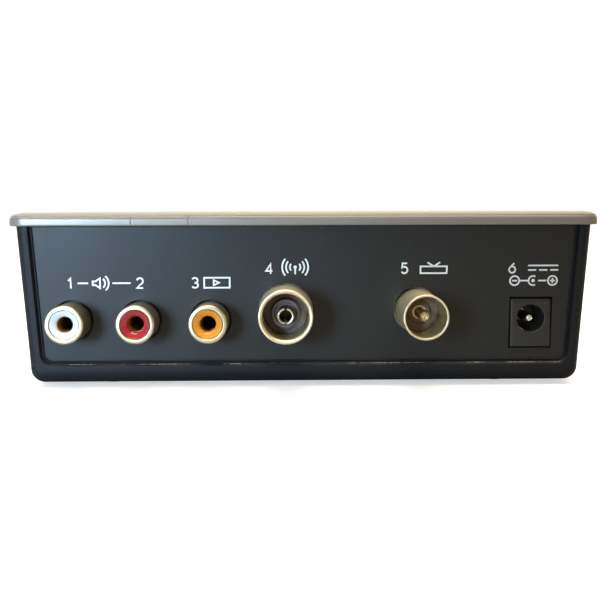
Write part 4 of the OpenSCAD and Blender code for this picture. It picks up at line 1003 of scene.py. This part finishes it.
class MODULATOR_OT_coaxial(Operator):
    """Build the aerial socket with its dimpled bore and split contact, and the television plug"""
    bl_idname = "modulator.coaxial"
    bl_label = "Coaxial Sockets"

    def execute(self, context):
        settings = context.scene.modulator_sockets
        plate = metal("Coaxial plating", settings.plating, 0.42, ALONG_Y, 0.35,
                      density=2700.0, ring_depth=2.2e-5)
        x, z, face, tip, end = socket_axis("aerial_shell")
        outer = fillet_path([(AERIAL_NECK_R, end), (AERIAL_NECK_R, 0.3), (AERIAL_R, 0.3),
                             (AERIAL_R, tip - 0.06), (5.25, tip), (4.86, tip - 0.36),
                             (AERIAL_BORE_R, tip - 0.9)],
                            [0, 0.05, 0.1, 0.3, 0.25, 0.2, 0], 6)
        bore = np.stack([np.full(60, AERIAL_BORE_R), np.linspace(tip - 1.0, end, 60)], axis=1)
        profile = np.concatenate([outer, bore])
        columns, dimples, dimple_back = 144, 6, 3.4
        surface = rear_turned(profile, x, z, face, columns)
        a = np.linspace(0, 2 * math.pi, columns, endpoint=False)
        off = (a[None, :] * dimples / (2 * math.pi) + 0.25) % 1.0 - 0.5
        across = off * 2 * math.pi * 4.8 / dimples
        lump = np.exp(-(across / 0.55) ** 2
                      - ((profile[:, 1][:, None] - tip + dimple_back) / 0.6) ** 2)
        lump *= (profile[:, 0] < 4.9)[:, None] * settings.dimple / MM
        inward = np.stack([-np.cos(a), np.zeros_like(a), -np.sin(a)], axis=-1)
        surface += lump[..., None] * inward[None]
        shell = Shell().grid(surface, wrap_rows=True, wrap_cols=True)
        fit_piece(shell.piece("aerial_barrel"), plate, "nickel", "aerial_shell")

        floor = tip - 9.6
        step = fillet_path([(1.82, end), (4.76, end), (4.76, floor), (3.35, floor),
                            (3.1, floor + 0.5), (3.1, floor + 3.2), (2.45, floor + 3.2),
                            (2.35, floor + 2.85), (1.82, floor + 2.85)],
                           [0.05, 0.05, 0.12, 0.2, 0.1, 0.16, 0.1, 0.08, 0.05], 5, closed=True)
        grey = plastic("Grey insulator", (0.135, 0.098, 0.096), roughness=0.34, mottle=0.14,
                       fine=1200.0, wear=0.4, dust=0.2)
        fit_piece(rear_ring("aerial_insulator_rings", step, x, z, face, 80), grey, "insulator",
                  "aerial_insulator")

        contact_tip = tip - 1.4
        split_end = contact_tip - 5.0
        tube = fillet_path([(SPLIT_BORE_R, floor), (0.0, floor), (0.0, end), (SPLIT_R, end),
                            (SPLIT_R, split_end), (SPLIT_BORE_R, split_end)],
                           [0, 0, 0, 0.05, 0.02, 0.02], 4)
        leaf = fillet_path([(SPLIT_BORE_R, split_end), (SPLIT_R, split_end), (1.72, contact_tip),
                            (1.3, contact_tip - 0.1)], [0, 0, 0.28, 0.12], 6, closed=True)
        shell = Shell().grid(rear_turned(tube, x, z, face, 64), wrap_rows=True, wrap_cols=True)
        half_gap = math.degrees(math.asin(SPLIT_GAP / 2 / 1.45))
        for start in (90.0, 270.0):
            shell.grid(sector(leaf, x, z, face, start + half_gap, start + 180.0 - half_gap),
                       wrap_rows=True, cap_cols=True)
        tail = fillet_path([(0.0, end - 3.2), (0.6, end - 3.2), (0.6, end + 0.05),
                            (0.0, end + 0.05)], [0, 0.1, 0, 0], 4)
        shell.grid(rear_turned(tail, x, z, face, 24), wrap_cols=True)
        # Painted shade darkens the contact's bore from 0.8 mm behind its tip
        socket_metal = metal("Split contact plating", (0.62, 0.56, 0.44), 0.3, ALONG_Y, 0.3,
                             painted_shade_from=face - contact_tip + 0.8)
        fit_piece(shell.piece("aerial_split_contact"), socket_metal, "contact", "aerial_contact")

        x, z, face, tip, end = socket_axis("tv_shell")
        wall = fillet_path([(TV_BORE_R, end), (TV_NECK_R, end), (TV_NECK_R, 0.3), (TV_R, 0.3),
                            (TV_R, tip), (4.3, tip - 0.02), (TV_BORE_R, tip - 0.4)],
                           [0.02, 0.05, 0.05, 0.1, 0.22, 0.14, 0.1], 6, closed=True)
        fit_piece(rear_ring("tv_barrel", wall, x, z, face, 110), plate, "nickel", "tv_shell")
        seat = tip - 10.5
        pin_tip = tip - 1.6
        pin = fillet_path([(0.0, pin_tip - 0.7), (0.42, pin_tip - 0.66), (0.5, pin_tip - 0.06),
                           (0.62, pin_tip), (TV_PIN_R, pin_tip - 0.6), (TV_PIN_R, seat),
                           (TV_ROOT_R, seat), (TV_ROOT_R, end), (0.6, end), (0.6, end - 3.2),
                           (0.0, end - 3.2)],
                          [0, 0.2, 0.1, 0.1, 0.3, 0.05, 0.05, 0.1, 0.02, 0.1, 0], 5)
        gilt = metal("Pin plating", (0.74, 0.62, 0.42), 0.28, ALONG_Y, 0.3)
        shell = Shell().grid(rear_turned(pin, x, z, face, 48), wrap_cols=True)
        fit_piece(shell.piece("tv_hollow_pin"), gilt, "contact", "tv_pin")
        disc = fillet_path([(1.57, end), (4.2, end), (4.2, seat), (2.6, seat), (2.45, seat - 0.35),
                            (1.57, seat - 0.35)],
                           [0.02, 0.05, 0.2, 0.1, 0.1, 0.1], 5, closed=True)
        insulator = rear_ring("tv_insulator_disc", disc, x, z, face, 80)
        angle = math.radians(-45)
        out = np.array([math.cos(angle), 0, math.sin(angle)])
        ring = round_rectangle([0.62] * 2, [0.62] * 2, [0.2] * 2, 5, [-1, 1], [-1, 1])
        centre = np.array([x, face, z]) + out * 4.1
        sideways = np.array([-out[2], 0, out[0]])
        notch = (centre + ring[..., :1] * out + ring[..., 1:] * sideways
                 - np.array([seat - 1.2, seat + 1.0])[:, None, None] * np.array([0, 1, 0]))
        carve(insulator, Shell().grid(notch, wrap_cols=True, cap_rows=True).piece("notch"))
        brown = plastic("Brown insulator", (0.20, 0.135, 0.085), roughness=0.42, mottle=0.2,
                        fine=1200.0, wear=0.3, dust=0.2)
        fit_piece(insulator, brown, "insulator", "tv_insulator")
        return {"FINISHED"}


class MODULATOR_OT_power(Operator):
    """Build the power socket: a block whose face blends from its square edge to a round hole"""
    bl_idname = "modulator.power"
    bl_label = "Power Socket"

    def execute(self, context):
        low, high = box_mm("power_jack")
        x, z = (low[0] + high[0]) / 2, (low[2] + high[2]) / 2
        half_x, half_z = (high[0] - low[0]) / 2, (high[2] - low[2]) / 2
        front, rear = low[1], high[1]
        pin_low, pin_high = box_mm("power_pin")
        bore_up = (pin_low[2] + pin_high[2]) / 2 - z
        # Rows of (set-back of the square, y), from the rear to the face
        square = np.array([(0.0, rear), (0.0, front + 0.34), (0.04, front + 0.2),
                           (0.14, front + 0.06), (0.3, front), (0.9, front)])
        ring = round_rectangle(half_x - square[:, 0], half_z - square[:, 0],
                               np.full(len(square), 0.35), 6, np.linspace(-1, 1, 15),
                               np.linspace(-1, 1, 19))
        corner = np.array([x, 0.0, z])
        body = np.stack([ring[..., 0], 0 * ring[..., 0] + square[:, 1][:, None], ring[..., 1]],
                        axis=-1)
        # The top edge carries a wider bevel
        near_top = np.clip((body[..., 2] - half_z + 0.5) / 0.5, 0, 1) * (body[..., 1] < front + 0.4)
        body[..., 1] += near_top * 0.42 * (square[:, 0] < 0.5)[:, None]
        last = ring[-1]
        turn = np.arctan2(last[:, 1] - bore_up, last[:, 0])
        t = np.linspace(0, 1, 8)[1:, None]
        circle = np.stack([np.cos(turn), np.sin(turn)], axis=-1)
        rise = np.array([0.0, bore_up])
        hole_edge = circle[None] * (POWER_BORE_R + 0.22) + rise
        blend = (1 - t[..., None]) * last[None] + t[..., None] * hole_edge
        flat = np.stack([blend[..., 0], np.full(blend.shape[:2], front), blend[..., 1]], axis=-1)
        inner = np.array([(POWER_BORE_R + 0.1, front + 0.04), (POWER_BORE_R + 0.02, front + 0.12),
                          (POWER_BORE_R, front + 0.24), (POWER_BORE_R, front + POWER_DEEP),
                          (1.5, front + POWER_DEEP), (1.5, rear)])
        well = np.stack([inner[:, :1] * circle[None, :, 0],
                         np.broadcast_to(inner[:, 1:], (len(inner), len(turn))),
                         inner[:, :1] * circle[None, :, 1] + bore_up], axis=-1)
        surface = np.concatenate([body, flat, well]) + corner
        jack = Shell().grid(surface, wrap_rows=True, wrap_cols=True).piece("power_block", 30.0)
        material = plastic("Power socket", (0.014, 0.0125, 0.0105), roughness=0.4, mottle=0.14,
                           fine=2100.0, wear=0.8, wear_colour=(0.16, 0.15, 0.13), dust=0.5,
                           specular=0.5)
        fit_piece(jack, material, "black_plastic", "power_jack")
        tip, end = pin_low[1], pin_high[1]
        pin = fillet_path([(0.0, 0.32), (0.3, 0.28), (0.42, 0.0), (0.62, 0.02), (POWER_PIN_R, 0.5),
                           (POWER_PIN_R, 9.2), (POWER_ROOT_R, 9.2), (POWER_ROOT_R, end - tip),
                           (0.0, end - tip)],
                          [0, 0.1, 0.06, 0.08, 0.3, 0.05, 0.1, 0.1, 0], 5)
        surface = turned(pin, (x, tip, z + bore_up), (1, 0, 0), (0, 0, 1), (0, 1, 0), 48)
        fit_piece(Shell().grid(surface, wrap_cols=True).piece("power_hollow_pin"),
                  metal("Bright pin", (0.82, 0.80, 0.74), 0.14, ALONG_Y, 0.1), "nickel",
                  "power_pin")
        dress(["power_spring"], metal("Leaf spring", (0.62, 0.58, 0.50), 0.3, ALONG_Y, 0.4))
        return {"FINISHED"}


# Print

def figure_strokes(mark, x, z, high):
    """Strokes of a plain figure whose lower left corner is (x, z)."""
    return [(np.asarray(line, float) * high + (x, z), False) for line in FIGURES[mark]]


def sign_strokes(high):
    """Strokes of the rear panel's signs, each in the place of a printed word on the real panel:
    (points, closed) pairs in the panel's plane."""
    low, coax_low = 22.3, 25.3
    top, mid = low + high, low + high / 2
    lines = figure_strokes("1", -52.2, low, high) + figure_strokes("2", -36.95, low, high)
    # A loudspeaker with waves, and a line to each of the two figures beside it
    lines += [([(-46.6, mid - 0.4), (-46.0, mid - 0.4), (-45.0, low), (-45.0, top),
                (-46.0, mid + 0.4), (-46.6, mid + 0.4)],
               True)]
    lines += [(arc(-45.2, mid, r, r, -48, 48), False) for r in (1.3, 2.1)]
    lines += [([(-49.9, mid), (-47.6, mid)], False), ([(-42.3, mid), (-38.3, mid)], False)]
    # A screen with a play sign, after a figure
    lines += figure_strokes("3", -24.9, low, high)
    lines += [([(-22.2, low), (-16.6, low), (-16.6, top), (-22.2, top)], True),
              ([(-20.1, mid - 0.55), (-20.1, mid + 0.55), (-18.9, mid)], True)]
    # A mast with waves on both sides
    mid = coax_low + high * 0.66
    lines += figure_strokes("4", -8.6, coax_low, high)
    lines += [([(-2.2, coax_low - 0.1), (-2.2, mid)], False),
              (arc(-2.2, mid, 0.2, 0.2, 0, 330, 12), True)]
    lines += [(arc(-2.2, mid, r, r, side - 40, side + 40), False) for side in (0, 180)
              for r in (1.15, 2.0, 2.85)]
    # A screen with two rods
    lines += figure_strokes("5", 21.2, coax_low, high)
    lines += [([(25.4, coax_low), (31.2, coax_low), (31.2, coax_low + 1.5), (25.4, coax_low + 1.5)],
               True),
              ([(26.9, coax_low + high + 0.2), (28.3, coax_low + 1.5),
                (29.7, coax_low + high + 0.2)], False)]
    # Direct current: a figure, a bar and three dashes under it
    mid = coax_low + high / 2
    lines += figure_strokes("6", 45.0, coax_low, high)
    lines += [([(49.2, mid + 0.5), (55.9, mid + 0.5)], False)]
    lines += [([(49.2 + 2.45 * i, mid - 0.5), (51.0 + 2.45 * i, mid - 0.5)], False)
              for i in range(3)]
    # Polarity: ring with minus, ring round a dot, ring with plus
    row = 23.55
    lines += [(arc(46.3, row, 1.02, 1.02, 0, 345, 24), True),
              (arc(54.7, row, 1.02, 1.02, 0, 345, 24), True),
              (arc(50.4, row, 1.02, 1.02, 62, 298, 22), False),
              ([(45.75, row), (46.85, row)], False), ([(54.15, row), (55.25, row)], False),
              ([(54.7, row - 0.55), (54.7, row + 0.55)], False),
              ([(47.32, row), (49.38, row)], False), ([(51.5, row), (53.3, row)], False),
              (arc(50.4, row, 0.2, 0.2, 0, 330, 12), True)]
    return lines


def print_line(shell, line, closed, settings, on_front=False):
    """Lays one printed line on the rear or front panel's face, its back a hair into the panel."""
    rows = stroke(line, settings.line / MM, settings.thick / MM, closed)
    x, z, proud = rows[..., 0], rows[..., 1], rows[..., 2] - INK_SUNK
    y = front_y(z, PANEL_RECESS) + proud if on_front else rear_y(z, PANEL_RECESS) - proud
    shell.grid(np.stack([x, y, z], axis=-1), wrap_rows=True, wrap_cols=closed, cap_cols=not closed)


class MODULATOR_OT_print(Operator):
    """Print plain figures and signs in white ink on the rear panel and beside the front controls"""
    bl_idname = "modulator.print"
    bl_label = "Print"

    def execute(self, context):
        settings = context.scene.modulator_print
        material = plastic("White ink", settings.colour, roughness=0.6, fine=3000.0, coarse=700.0,
                           mottle=0.1, wear=0.0, dust=0.0, film=0.0, bump_size=1e-5)
        rear, front = Shell(), Shell()
        for line, closed in sign_strokes(settings.high / MM):
            print_line(rear, line, closed, settings)
        fit_piece(rear.piece("rear_print"), material, "panel")
        for name, sign in (("button_up", 1), ("button_down", -1)):
            low, high = box_mm(name)
            x, tip = (low[0] + high[0]) / 2, (low[2] + high[2]) / 2 + 6.6 + sign * 0.6
            arrow = [(x - 1.1, tip - sign * 1.6), (x, tip), (x + 1.1, tip - sign * 1.6)]
            print_line(front, arrow, True, settings, on_front=True)
        low, high = box_mm("power_light")
        x, z = (low[0] + high[0]) / 2, (low[2] + high[2]) / 2
        for line in (arc(x, z + 5.6, 1.0, 1.0, 125, 415, 26), [(x, z + 5.7), (x, z + 7.0)]):
            print_line(front, line, False, settings, on_front=True)
        fit_piece(front.piece("front_print"), material, "panel")
        return {"FINISHED"}


# Front controls

SEGMENTS = {0: "abcdef", 1: "bc", 2: "abged", 3: "abgcd", 4: "fgbc", 5: "afgcd", 6: "afgedc",
            7: "abc", 8: "abcdefg", 9: "abcdfg"}


class MODULATOR_OT_front(Operator):
    """Build the smoked window, the two-figure display, the power light and the dished buttons"""
    bl_idname = "modulator.front"
    bl_label = "Front Controls"

    def execute(self, context):
        settings = context.scene.modulator_front
        low, high = box_mm("display_window")
        x, half_w = (low[0] + high[0]) / 2, (high[0] - low[0]) / 2 - 1.5
        z, half_h = (low[2] + high[2]) / 2, (high[2] - low[2]) / 2 - 1.5
        # Rows of (grown by, depth behind the panel's face, corner radius): flange, sides and face
        rows = np.array([(1.5, 3.0, 1.0), (1.5, 2.0, 1.0), (0.0, 2.0, 1.0), (0.0, 0.3, 1.0),
                         (-0.06, 0.12, 1.0), (-0.2, 0.03, 1.0), (-0.4, 0.0, 1.0), (-2.0, 0.0, 1.0)])
        ring = round_rectangle(half_w + rows[:, 0], half_h + rows[:, 0], rows[:, 2], 7,
                               np.linspace(-1, 1, 21), np.linspace(-1, 1, 11))
        pz = z + ring[..., 1]
        py = front_y(pz, rows[:, 1][:, None])
        window = Shell().grid(np.stack([x + ring[..., 0], py, pz], axis=-1), wrap_cols=True,
                              cap_rows=True)
        fit_piece(window.piece("smoked_window", 30.0),
                  glass_material("Smoked window", settings.smoke), "window", "display_window")

        low, high = box_mm("channel_display")
        mid, half = (low + high) / 2, (high - low) / 2
        rows = np.array([(0.0, low[1]), (0.0, high[1] - 0.4), (0.08, high[1] - 0.15),
                         (0.3, high[1]), (2.0, high[1])])
        ring = round_rectangle(half[0] - rows[:, 0], half[2] - rows[:, 0], np.full(5, 0.5), 6,
                               np.linspace(-1, 1, 9), np.linspace(-1, 1, 7))
        y = rows[:, 1][:, None] + 0 * ring[..., 0]
        body = Shell().grid(np.stack([mid[0] + ring[..., 0], y, mid[2] + ring[..., 1]], axis=-1),
                            wrap_cols=True, cap_rows=True).piece("display_body", 30.0)
        face = plastic("Display face", (0.10, 0.10, 0.105), roughness=0.4, mottle=0.1, wear=0.0)
        fit_piece(body, face, "display_face", "channel_display")
        lit, unlit = Shell(), Shell()
        # A bar's half length and half thickness, the middles of the bars, and the figures' slant
        long, thin, out, up, slant, half_pitch = 1.75, 0.42, 2.3, 2.0, 0.06, 4.4
        spots = {"a": (0, 2 * up, 0), "d": (0, -2 * up, 0), "g": (0, 0, 0), "b": (-out, up, 1),
                 "f": (out, up, 1), "c": (-out, -up, 1), "e": (out, -up, 1)}
        flat_bar = np.array([(-long, 0), (-long + thin, thin), (long - thin, thin), (long, 0),
                             (long - thin, -thin), (-long + thin, -thin)])
        for place, figure in ((-1, settings.channel // 10), (1, settings.channel % 10)):
            # Seen from the front, +X is on the left
            cx = mid[0] - place * half_pitch
            for key, (dx, dz, tall) in spots.items():
                bar = flat_bar[:, ::-1] if tall else flat_bar
                flat = np.stack([cx + dx + bar[:, 0] - slant * (dz + bar[:, 1]),
                                 np.full(6, high[1]), mid[2] + dz + bar[:, 1]], axis=-1)
                block = np.stack([flat - (0, 0.05, 0), flat + (0, 0.06, 0)])
                shell = lit if key in SEGMENTS[figure] else unlit
                shell.grid(block, wrap_cols=True, cap_rows=True)
        fit_piece(lit.piece("lit_segments"),
                  glow_material("Lit segment", (1.0, 0.06, 0.03), settings.glow), "display_face")
        pale = plastic("Unlit segment", (0.20, 0.19, 0.19), roughness=0.4, wear=0.0, dust=0.0)
        fit_piece(unlit.piece("unlit_segments"), pale, "display_face")

        low, high = box_mm("power_light")
        x, z, r = (low[0] + high[0]) / 2, (low[2] + high[2]) / 2, 1.5
        a = np.linspace(0, math.pi / 2, 12)
        dome = np.stack([r * np.cos(a), high[1] - r + r * np.sin(a)], axis=1)
        profile = np.concatenate([[(0, low[1]), (1.9, low[1]), (1.9, low[1] + 1.0),
                                   (r, low[1] + 1.0)], dome])
        light = Shell().grid(turned(profile, (x, 0, z), (1, 0, 0), (0, 0, -1), (0, 1, 0), 48),
                             wrap_cols=True)
        lens = glass_material("Light lens", (0.10, 0.62, 0.16))
        fit_piece(light.piece("light_lens"), lens, "light_lens", "power_light")

        keycap = plastic("Button plastic", settings.button_colour, roughness=0.42, mottle=0.1,
                         fine=2400.0, wear=0.5, dust=0.25, film=0.04)
        for name, body_name, piece in (("button_up", "up_button", "up_key"),
                                       ("button_down", "down_button", "down_key")):
            low, high = box_mm(name)
            x, z, top = (low[0] + high[0]) / 2, (low[2] + high[2]) / 2, high[1]
            t = np.linspace(0, 1, 9)[:-1]
            dish = np.stack([2.9 * t, top - settings.dish / MM * (1 - t ** 2)], axis=1)
            rim = fillet_path([(2.9, top), (3.5, top), (3.5, top - 4.13), (4.6, top - 4.13),
                               (4.6, top - 5.13), (1.5, top - 5.13), (1.5, low[1]), (0.0, low[1])],
                              [0, 0.4, 0.1, 0.15, 0.15, 0.1, 0.1, 0], 6)
            surface = turned(np.concatenate([dish, rim]), (x, 0, z), (1, 0, 0), (0, 0, -1),
                             (0, 1, 0), 72)
            fit_piece(Shell().grid(surface, wrap_cols=True).piece(piece), keycap, "button", name,
                      body=body_name)
        ivory = plastic("Ivory plunger", (0.62, 0.58, 0.48), roughness=0.35, wear=0.2)
        dress(["plunger_up", "plunger_down"], ivory)
        return {"FINISHED"}


class MODULATOR_OT_inside(Operator):
    """Finish the boards, tuner can, chips and other pieces inside the case"""
    bl_idname = "modulator.inside"
    bl_label = "Inside"

    def execute(self, context):
        dress(["main_board", "front_board", "tuner_board"],
              board_material("Solder mask", (0.022, 0.13, 0.045)))
        dress(["tuner_can", "tuner_can_cover", "crystal"],
              metal("Tinplate", (0.52, 0.54, 0.54), 0.3, ALONG_Z, 0.2, density=2600.0))
        chip = plastic("Chip epoxy", (0.014, 0.014, 0.015), roughness=0.62, mottle=0.2, fine=3400.0)
        dress(["tuner_chip", "voltage_regulator", "control_chip", "audio_chip", "board_header",
               "button_switches", "light_spacer"], chip)
        dress(["tuner_coils"], metal("Enamelled wire", (0.60, 0.27, 0.10), 0.3, ALONG_Z, 0.2))
        sink = plastic("Black anodising", (0.02, 0.02, 0.022), roughness=0.5, mottle=0.12, wear=0.5,
                       wear_colour=(0.30, 0.30, 0.31))
        dress(["heatsink"], sink)
        sleeve = plastic("Capacitor sleeve", (0.012, 0.022, 0.075), roughness=0.3, mottle=0.12,
                         coat=0.3)
        dress(["filter_capacitors", "small_capacitors"], sleeve)
        tan, tree, shader, base = plastic_tree("Resistor lacquer", (0.48, 0.33, 0.17),
                                               roughness=0.4, mottle=0.15)
        bands = node(tree, "TexWave", {"Vector": object_place(tree), "Scale": 420.0},
                     bands_direction="X")
        rings = spread(tree, bands.outputs["Fac"], 0.82, 0.9)
        base = mix_colour(tree, times(tree, rings, 0.8), base, (0.16, 0.05, 0.02))
        join(tree, shader.inputs, {"Base Color": base})
        dress(["resistors"], tan)
        dress(["header_pins"], metal("Header pins", (0.78, 0.66, 0.40), 0.25, ALONG_Y, 0.2))
        return {"FINISHED"}


# Stage

def set_axes(obj, right, up, back, place):
    """Places an object by its own three axes and a place in metres."""
    rows = np.column_stack([right, up, back, place]).tolist()
    obj.matrix_world = Matrix([*rows, (0.0, 0.0, 0.0, 1.0)])


def area_light(name, place, aim, size, power, colour):
    """Soft light at a place in metres that faces a point; size is (width, height)."""
    data = bpy.data.lights.new(name, "AREA")
    data.shape, data.size, data.size_y = "RECTANGLE", size[0], size[1]
    data.energy, data.color = power, colour
    lamp = bpy.data.objects.new(name, data)
    bpy.context.scene.collection.objects.link(lamp)
    away = np.array(place, float) - np.array(aim, float)
    away /= np.linalg.norm(away)
    side = np.cross((0, 0, 1.0), away)
    side /= np.linalg.norm(side)
    set_axes(lamp, side, np.cross(away, side), away, place)
    return lamp


class MODULATOR_OT_stage(Operator):
    """Set the camera, the pale floor, the backdrop and the soft lights"""
    bl_idname = "modulator.stage"
    bl_label = "Stage"

    def execute(self, context):
        settings = context.scene.modulator_stage
        scene = context.scene
        cy, sy = math.cos(settings.yaw), math.sin(settings.yaw)
        cp, sp = math.cos(settings.pitch), math.sin(settings.pitch)
        ahead = np.array((sy * cp, cy * cp, -sp))
        right = np.array((cy, -sy, 0.0))
        up = np.cross(right, ahead)
        c, s = math.cos(settings.roll), math.sin(settings.roll)
        right, up = c * right + s * up, -s * right + c * up
        data = bpy.data.cameras.new("view")
        data.lens, data.sensor_width, data.sensor_fit = settings.lens, 36.0, "HORIZONTAL"
        data.clip_start, data.clip_end = 0.01, 20.0
        camera = bpy.data.objects.new("view", data)
        scene.collection.objects.link(camera)
        set_axes(camera, right, up, -ahead, settings.eye)
        scene.camera = camera

        angle = np.linspace(0, 2 * math.pi, 96, endpoint=False)
        radius = np.array([0.0, 0.1, 0.25, 0.6, 1.5, 4.0])[:, None] / MM
        disc = np.stack([radius * np.cos(angle), radius * np.sin(angle), 0 * radius * angle],
                        axis=-1)
        floor = Shell().grid(disc, wrap_cols=True).piece("floor")
        if floor.data.polygons[0].normal.z < 0:
            floor.data.flip_normals()
        floor.data.materials.append(self.floor_material(settings))

        key = area_light("key", (-0.25, -0.40, 0.066), (-0.13, -0.035, 0.012), (0.22, 0.12),
                         settings.key, (0.48, 0.72, 1.0))
        key.data.spread = math.radians(44)
        area_light("top", (-0.03, -0.12, 0.75), (0, 0, 0.03), (0.6, 0.4), settings.top,
                   (1.0, 0.92, 0.74))
        self.world(scene)
        scene.view_settings.view_transform = "Standard"
        return {"FINISHED"}

    def floor_material(self, settings):
        """Pale floor: its lit parts are lifted to white for the camera and for mirrors, and its
        shadows stay."""
        material, tree, shader = start_material("Pale floor")
        grain = use_group(tree, "grain", fine_scale=300.0, coarse_scale=12.0, mottle=0.02,
                          roughness=0.8, roughness_spread=0.1, fine_height=0.3)
        path = node(tree, "LightPath").outputs
        pale = tinted(tree, settings.floor_colour, grain)
        dim = tuple(0.15 * c for c in settings.floor_colour)
        shown = math_node(tree, "MAXIMUM", path["Is Camera Ray"],
                          times(tree, path["Is Glossy Ray"], 0.45))
        join(tree, shader.inputs, {"Base Color": mix_colour(tree, shown, dim, pale),
                                   "Roughness": grain["Roughness"]})
        glow = node(tree, "Emission", {"Color": (1, 1, 1, 1),
                                       "Strength": times(tree, path["Is Camera Ray"], 0.55)})
        both = node(tree, "AddShader", {0: shader.outputs[0], 1: glow.outputs[0]})
        out = next(n for n in tree.nodes if n.bl_idname == "ShaderNodeOutputMaterial")
        join(tree, out.inputs, {0: both.outputs[0]})
        return material

    def world(self, scene):
        """White for the camera; for light and mirrors a plain room, brighter above and to the left
        and dim to the right behind the camera."""
        world = bpy.data.worlds.new("room")
        world.use_nodes = True
        tree = world.node_tree
        tree.nodes.clear()
        way = node(tree, "SeparateXYZ", {0: node(tree, "TexCoord").outputs["Generated"]}).outputs
        up = spread(tree, way[2], 0.1, 0.9, 0.25, 0.75)
        behind = spread(tree, way[1], 0.2, 0.95, 0.0, 1.3)
        path = node(tree, "LightPath").outputs
        through = math_node(tree, "MAXIMUM", path["Is Camera Ray"], path["Is Transmission Ray"])
        colour = mix_colour(tree, spread(tree, way[0], -0.7, 0.25), (0.88, 0.92, 1.0),
                            (1.0, 0.74, 0.47))
        colour = mix_colour(tree, spread(tree, way[1], 0.2, 0.9), colour, (1.0, 0.94, 0.80))
        shade = mix_colour(tree, through, colour, (1.0, 1.0, 1.0))
        strength = node(tree, "Mix", {"Factor": through, 2: plus(tree, up, behind), 3: 1.0},
                        data_type="FLOAT")
        back = node(tree, "Background", {"Color": shade, "Strength": strength.outputs[0]})
        node(tree, "OutputWorld", {0: back.outputs[0]})
        scene.world = world


class MODULATOR_PT_sidebar(Panel):
    """Lists the pieces, their settings and the stage"""
    bl_label = "RF Modulator"
    bl_idname = "MODULATOR_PT_sidebar"
    bl_space_type = "VIEW_3D"
    bl_region_type = "UI"
    bl_category = "Modulator"

    def draw(self, context):
        layout = self.layout
        for operator in STEPS:
            layout.operator(operator.bl_idname)
        for name, group in SETTINGS:
            box = layout.box()
            box.label(text=group.__doc__)
            for key in group.__annotations__:
                box.prop(getattr(context.scene, name), key)


SETTINGS = (("modulator_case", CaseSettings), ("modulator_sockets", SocketSettings),
            ("modulator_print", PrintSettings), ("modulator_front", FrontSettings),
            ("modulator_stage", StageSettings))
STEPS = (MODULATOR_OT_stage, MODULATOR_OT_tub, MODULATOR_OT_cover, MODULATOR_OT_panels,
         MODULATOR_OT_feet, MODULATOR_OT_phono, MODULATOR_OT_coaxial, MODULATOR_OT_power,
         MODULATOR_OT_print, MODULATOR_OT_front, MODULATOR_OT_inside)
CLASSES = tuple(group for _, group in SETTINGS) + STEPS + (MODULATOR_PT_sidebar,)


def register():
    for cls in CLASSES:
        bpy.utils.register_class(cls)
    for name, group in SETTINGS:
        setattr(bpy.types.Scene, name, PointerProperty(type=group))


def unregister():
    for name, _ in SETTINGS:
        delattr(bpy.types.Scene, name)
    for cls in reversed(CLASSES):
        bpy.utils.unregister_class(cls)


def main():
    """Builds every piece and the stage."""
    register()
    for step in STEPS:
        family, name = step.bl_idname.split(".")
        if getattr(getattr(bpy.ops, family), name)() != {"FINISHED"}:
            raise RuntimeError(step.bl_label + " did not finish")
    bpy.context.view_layer.update()


if __name__ == "__main__":
    main()
